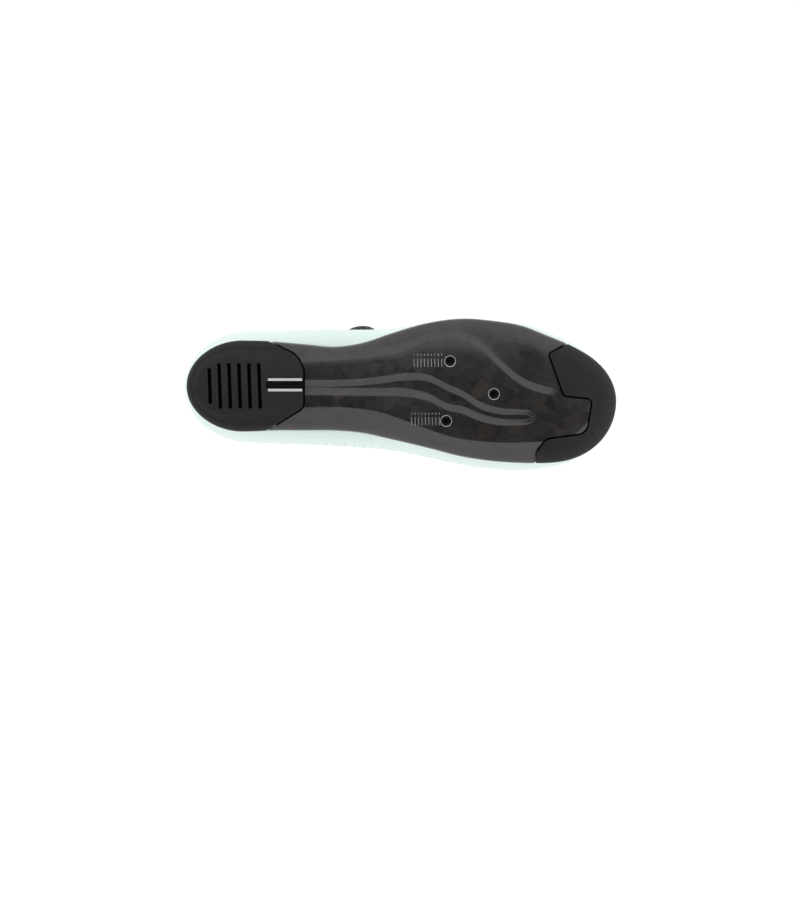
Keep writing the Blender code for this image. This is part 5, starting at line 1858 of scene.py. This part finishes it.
def dial_black():
    finish = Finish("dial_plastic", (0.016, 0.016, 0.017), Roughness=0.38)
    grain = finish.noise(0.5 * MM, 3.0, 0.6)
    finish.tones(grain, (0.013, 0.013, 0.014), (0.020, 0.020, 0.021))
    finish.feed(Roughness=0.32 + 0.14 * grain)
    return finish.raised(0.015 * MM * grain)


DIAL_BLACK = dial_black()
point, normal, _, _ = shell_tree.ray_cast(Vector((DIAL_AT, -LENGTH, DIAL_UP)), Vector((0, 1, 0)))
dial_seat = frame_on(point, normal, Vector((1, 0, 0)))
print("dial seat:", [round(v / MM, 1) for v in point], "mm")

# %% [markdown]
# Base and knob are turned profiles. The knob's rings swing in and out for the teeth, and the last column of
# its profile says how much of a tooth each ring gets.

# %% Lace dial
def turned_part(name, profile, sides, finish, tooth=None):
    """A profile of (radius, height, share of a tooth) spun round z, in millimetres."""
    made = bmesh.new()
    rows = []
    for radius, z, share in profile:
        ring = []
        for k in range(sides):
            angle = 2 * math.pi * k / sides
            reach = radius * MM - (tooth(angle) * share if tooth else 0.0)
            ring.append((reach * math.cos(angle), reach * math.sin(angle), z * MM))
        rows.append(new_row(made, ring))
    capped(made, rows)
    made.transform(dial_seat)
    return finished(name, made, finish, sharp=28)


def knurl(angle):
    return DIAL_TOOTH * (0.5 - 0.5 * math.cos(DIAL_TEETH * angle)) ** 0.6


base_profile = ((12.8, -5, 0), (12.8, 1.7, 0), (12.6, 2.3, 0), (12.1, 2.7, 0), (11.6, 2.8, 0))
knob_profile = (
    (10.8, 3.10, 0), (11.4, 3.35, 1), (11.6, 3.8, 1), (11.6, 7.2, 1), (11.45, 7.8, 1), (10.9, 8.5, 0.5),
    (10.3, 8.9, 0), (9.4, 9.2, 0), (8.2, 9.35, 0), (7.6, 9.35, 0), (7.3, 9.0, 0), (6.9, 8.95, 0),
    (3.0, 9.15, 0),
)
base = turned_part("dial_foot", base_profile, 96, DIAL_BLACK)
placed(smoothed(cut(base, skin_block(wall, SKIN_BLOCK_RISE)), 28), "dial_plastic", "dial_base")
knob = turned_part("dial_wheel", knob_profile, KNOB_STEPS * DIAL_TEETH, DIAL_BLACK, knurl)
placed(knob, "dial_plastic", "dial_knob")

# %% [markdown]
# ## Lace guides
# Six loops of webbing hold the lace along the throat. Each is a flat strip laid over the lace and sewn down
# at its edges: an arch with a wall, pulled along the throat. We could bend a plane with a modifier, but the
# arch is only eleven rows of a table, and the same seat places the strip and the lace.

# %% Lace guides
GUIDE_LENGTH = 9 * MM
GUIDE_STATIONS = 9
GUIDE_SET_IN = 7.5 * MM
HALVINGS = 14
GUIDES_MEDIAL = (132 * MM, 156 * MM, 180 * MM)
GUIDES_LATERAL = (144 * MM, 168 * MM, 189 * MM)
CORD_HEIGHT = 1.9 * MM
ARCH = table(
    "across outer inner",
    (-3.60, 0.75, -0.30),
    (-3.00, 0.95, -0.30),
    (-2.35, 1.60, 0.10),
    (-1.70, 2.70, 1.30),
    (-1.00, 3.25, 2.30),
    (0.00, 3.40, 2.60),
    (1.00, 3.25, 2.30),
    (1.70, 2.70, 1.30),
    (2.35, 1.60, 0.10),
    (3.00, 0.95, -0.30),
    (3.60, 0.75, -0.30),
)


def webbing():
    """Plain woven ribbon: ribs one way, fine threads the other."""
    finish = Finish("webbing", (0.46, 0.57, 0.545), Roughness=0.7)
    ribs = finish.axis(finish.place, 0).wave(0.9 * MM)
    threads = finish.noise(0.35 * MM, 2.0)
    finish.tones(0.5 + 0.5 * ribs, (0.38, 0.47, 0.45), (0.50, 0.61, 0.585))
    return finish.raised(0.05 * MM * ribs + 0.05 * MM * threads)


def below_edge(x, side, distance):
    """Point and outward normal a distance down the rib that ends at x on the topline."""
    edge, _ = at_topline(wall, x, side, 1.0)
    low, high = 0.0, 1.0
    for _ in range(HALVINGS):
        level = 0.5 * (low + high)
        point, normal = at_topline(wall, x, side, level)
        low, high = (level, high) if (point - edge).length > distance else (low, level)
    return point, normal


def guide_seat(x, side):
    """Frame of a guide near the throat's edge: x along the throat, z out of the skin."""
    point, normal = below_edge(x, side, GUIDE_SET_IN)
    ahead, _ = below_edge(x + 5 * MM, side, GUIDE_SET_IN)
    return frame_on(point + normal * PANEL_RISE * 0.6, normal, ahead - point)


def guide(name, seat, finish):
    made = bmesh.new()
    rows = []
    for t in np.linspace(-0.5, 0.5, GUIDE_STATIONS):
        pinch = 1 - 0.10 * (2 * abs(t)) ** 6
        outer = [(t * GUIDE_LENGTH, a.across * MM, a.outer * MM * pinch) for a in ARCH]
        inner = [(t * GUIDE_LENGTH, a.across * MM, a.inner * MM) for a in reversed(ARCH)]
        rows.append(new_row(made, [*outer, *inner]))
    skin(made, rows)
    for row in (rows[0], rows[-1]):
        count = len(ARCH)
        for k in range(count - 1):
            made.faces.new((row[k], row[k + 1], row[2 * count - 2 - k], row[2 * count - 1 - k]))
    made.transform(seat)
    return finished(name, made, finish, sharp=50)


WEBBING = webbing()
seats = []
for k, pair in enumerate(zip(GUIDES_MEDIAL, GUIDES_LATERAL)):
    for side, place, word in ((-1, pair[0], "medial"), (1, pair[1], "lateral")):
        seats.append(guide_seat(place, side))
        node = f"guide_{word}_{k + 1}"
        placed(guide(node + "_loop", seats[-1], WEBBING), "guide_webbing", node)

# %% [markdown]
# ## Lace
# The lace leaves the dial and zigzags down the throat through all six guides. Its route is one run of
# smooth arcs between them, and each point is lifted until it clears tongue and upper, as a taut cord lies
# on what is under it.

# %% The lace's route
LACE_RADIUS = 0.75 * MM
LACE_TAIL = 1.2 * MM
LACE_HANDLE = 4 * MM
LACE_LIFT = 0.6 * MM
LACE_STEPS = 16
LACE_PASSES = 12


def rest_on(points, held, skins, gap):
    """Raise the points that aren't held until they clear the skins below by gap, keeping the run smooth."""
    down = Vector((0, 0, -1))
    beside = [Vector((gap * i, gap * j, LENGTH)) for i, j in ((0, 0), (1, 0), (-1, 0), (0, 1), (0, -1))]
    for _ in range(LACE_PASSES):
        for i in range(1, len(points) - 1):
            if not held[i]:
                points[i] = 0.5 * points[i] + 0.25 * (points[i - 1] + points[i + 1])
        for i, point in enumerate(points):
            starts = [] if held[i] else [point + aside for aside in beside]
            hits = [tree.ray_cast(start, down)[0] for tree in skins for start in starts]
            for there in filter(None, hits):
                points[i].z = max(points[i].z, there.z + 1.1 * gap)
    return points


def lace_route(seats, skins):
    run = GUIDE_LENGTH / 2 + LACE_TAIL
    points, held = [], []
    start = dial_seat @ Vector((0.4 * DIAL_RADIUS, DIAL_BASE_RADIUS + 2 * CLEARANCE, 1.8 * MM))
    handle = dial_seat @ Vector((0.4 * DIAL_RADIUS, DIAL_BASE_RADIUS + 12 * MM, 7 * MM))
    for k, seat in enumerate(seats):
        enter = seat @ Vector((-run, 0, CORD_HEIGHT))
        enter_from = seat @ Vector((-run - LACE_HANDLE, 0, CORD_HEIGHT + LACE_LIFT))
        for step in range(LACE_STEPS):
            points.append(bezier(start, handle, enter_from, enter, step / LACE_STEPS))
            held.append(step == 0)
        points.append(enter)
        held.append(True)
        start = seat @ Vector((run, 0, CORD_HEIGHT))
        handle = seat @ Vector((run + LACE_HANDLE, 0, CORD_HEIGHT + LACE_LIFT))
    points.append(seats[-1] @ Vector((GUIDE_LENGTH / 2 - 2 * MM, 0, CORD_HEIGHT)))
    held.append(True)
    return rest_on(points, held, skins, LACE_RADIUS + 2 * CLEARANCE)


route = lace_route(seats, [shell_tree, tongue_tree])
run = sum((b - a).length for a, b in zip(route, route[1:]))
print("lace:", len(route), "points,", round(run / MM), "mm long")

# %% [markdown]
# The cord is a curve with a round section, turned into a mesh. Its braid is two slanted waves in the
# finish, because strands this fine would cost far more faces than the whole cord.

# %% Lace
def braid():
    """Braided cord: two slanted sets of strands, from waves that run against each other."""
    finish = Finish("braided_cord", (0.60, 0.62, 0.62), Roughness=0.6)
    first = finish.axis(finish.turned(45), 0).wave(0.8 * MM)
    second = finish.axis(finish.turned(-45), 0).wave(0.8 * MM)
    strand = 0.5 + 0.5 * first * second
    finish.tones(strand, (0.42, 0.44, 0.44), (0.66, 0.68, 0.68))
    return finish.raised(0.08 * MM * strand)


def lace(points):
    curve = bpy.data.curves.new("lace", "CURVE")
    curve.dimensions = "3D"
    curve.bevel_depth = LACE_RADIUS
    curve.bevel_resolution = 4
    curve.use_fill_caps = True
    spline = curve.splines.new("POLY")
    spline.points.add(len(points) - 1)
    for there, point in zip(spline.points, points):
        there.co = (*point, 1)
    mesh = curve_mesh(curve)
    mesh.materials.append(braid())
    mesh.shade_smooth()
    return linked("lace_cord", mesh)


placed(lace(route), "lace_cord", "lace")

# %% [markdown]
# ## Camera, floor and light
# The photo looks square at the sole, outer side up. The shoe lies on that side, so the camera is rolled by
# half a turn. Square on, it would sink through the floor, because the sole leans two degrees. So it's
# raised just over the floor, and its lens is shifted back by as much, as a view camera does: the sole stays
# undistorted.

# %% Camera
IMAGE_HEIGHT = 900
PIXEL = 0.644 * MM
DISTANCE = 3.5
LENS_OVER_FLOOR = 12 * MM
AIM = SHOE @ Vector((139.7 * MM, 1.9 * MM, 0))
AIM_ABOVE_MIDDLE = 56
SENSOR = 36


def camera():
    seen = bpy.data.cameras.new("camera")
    seen.lens = SENSOR * DISTANCE / (PIXEL * IMAGE_HEIGHT)
    seen.sensor_width = SENSOR
    seen.clip_start = 0.01
    thing = linked("camera", seen)
    right, up, back = [SHOE.to_3x3() @ Vector(v) for v in ((1, 0, 0), (0, -1, 0), (0, 0, -1))]
    square_on = AIM + back * DISTANCE
    drop = (LENS_OVER_FLOOR - square_on.z) / up.z
    seen.shift_y = (-drop / PIXEL - AIM_ABOVE_MIDDLE) / IMAGE_HEIGHT
    there = Matrix.Translation(square_on + up * drop)
    thing.matrix_world = there @ Matrix((right, up, back)).transposed().to_4x4()
    bpy.context.scene.camera = thing
    print("camera height:", round(thing.location.z / MM, 1), "mm; shift", round(seen.shift_y, 3))


camera()

# %% [markdown]
# The photo is a cut-out on white, lit from all sides: the mint is nearly flat, and only the glossy black
# sole shows what surrounds it. So the floor and the sky glow alike. Dark cards stand and lie in front of
# the sole, as in a studio. Its flats mirror them and stay black, while each slope looks past them and turns
# bright.

# %% Floor and light
GLOW = 1.10
FLOOR_SIZE = 12
CARDS = table(
    "width depth place degrees",
    (1.8, 0.5, (-0.35, -1.2, 0.25), 90),
    (1.5, 0.95, (-0.25, -0.70, 2 * MM), 0),
)


def panel(name, width, depth, finish):
    made = bmesh.new()
    corners = ((-0.5, -0.5), (0.5, -0.5), (0.5, 0.5), (-0.5, 0.5))
    made.faces.new(new_row(made, [(width * x, depth * y, 0) for x, y in corners]))
    piece = finished(name, made, finish)
    return piece


def luminous(name, strength):
    constants = {"Specular_IOR_Level": 0.0, "Emission_Strength": strength}
    finish = Finish(name, (0.02, 0.02, 0.02), Roughness=0.9, **constants)
    finish.feed(Emission_Color=finish.mixed(finish.noise(0.5), (0.99, 0.99, 0.99), (1, 1, 1)))
    return finish.material


def dark_card(size, finish):
    """A matt black card that the lens looks through."""
    card = panel("dark_card", size.width, size.depth, finish)
    card.matrix_world = Matrix.Translation(size.place) @ Matrix.Rotation(math.radians(size.degrees), 4, "X")
    card.visible_camera = False


panel("floor", FLOOR_SIZE, FLOOR_SIZE, luminous("glowing_floor", GLOW))
card_black = plain("card_black", (0.004, 0.004, 0.004), 0.9, specular=0.0)
for card_size in CARDS:
    dark_card(card_size, card_black)

world = bpy.data.worlds.new("studio")
bpy.context.scene.world = world
world.use_nodes = True
sky = world.node_tree.nodes["Background"].inputs
sky["Color"].default_value = (1, 1, 1, 1)
sky["Strength"].default_value = GLOW
bpy.context.scene.view_settings.view_transform = "Standard"
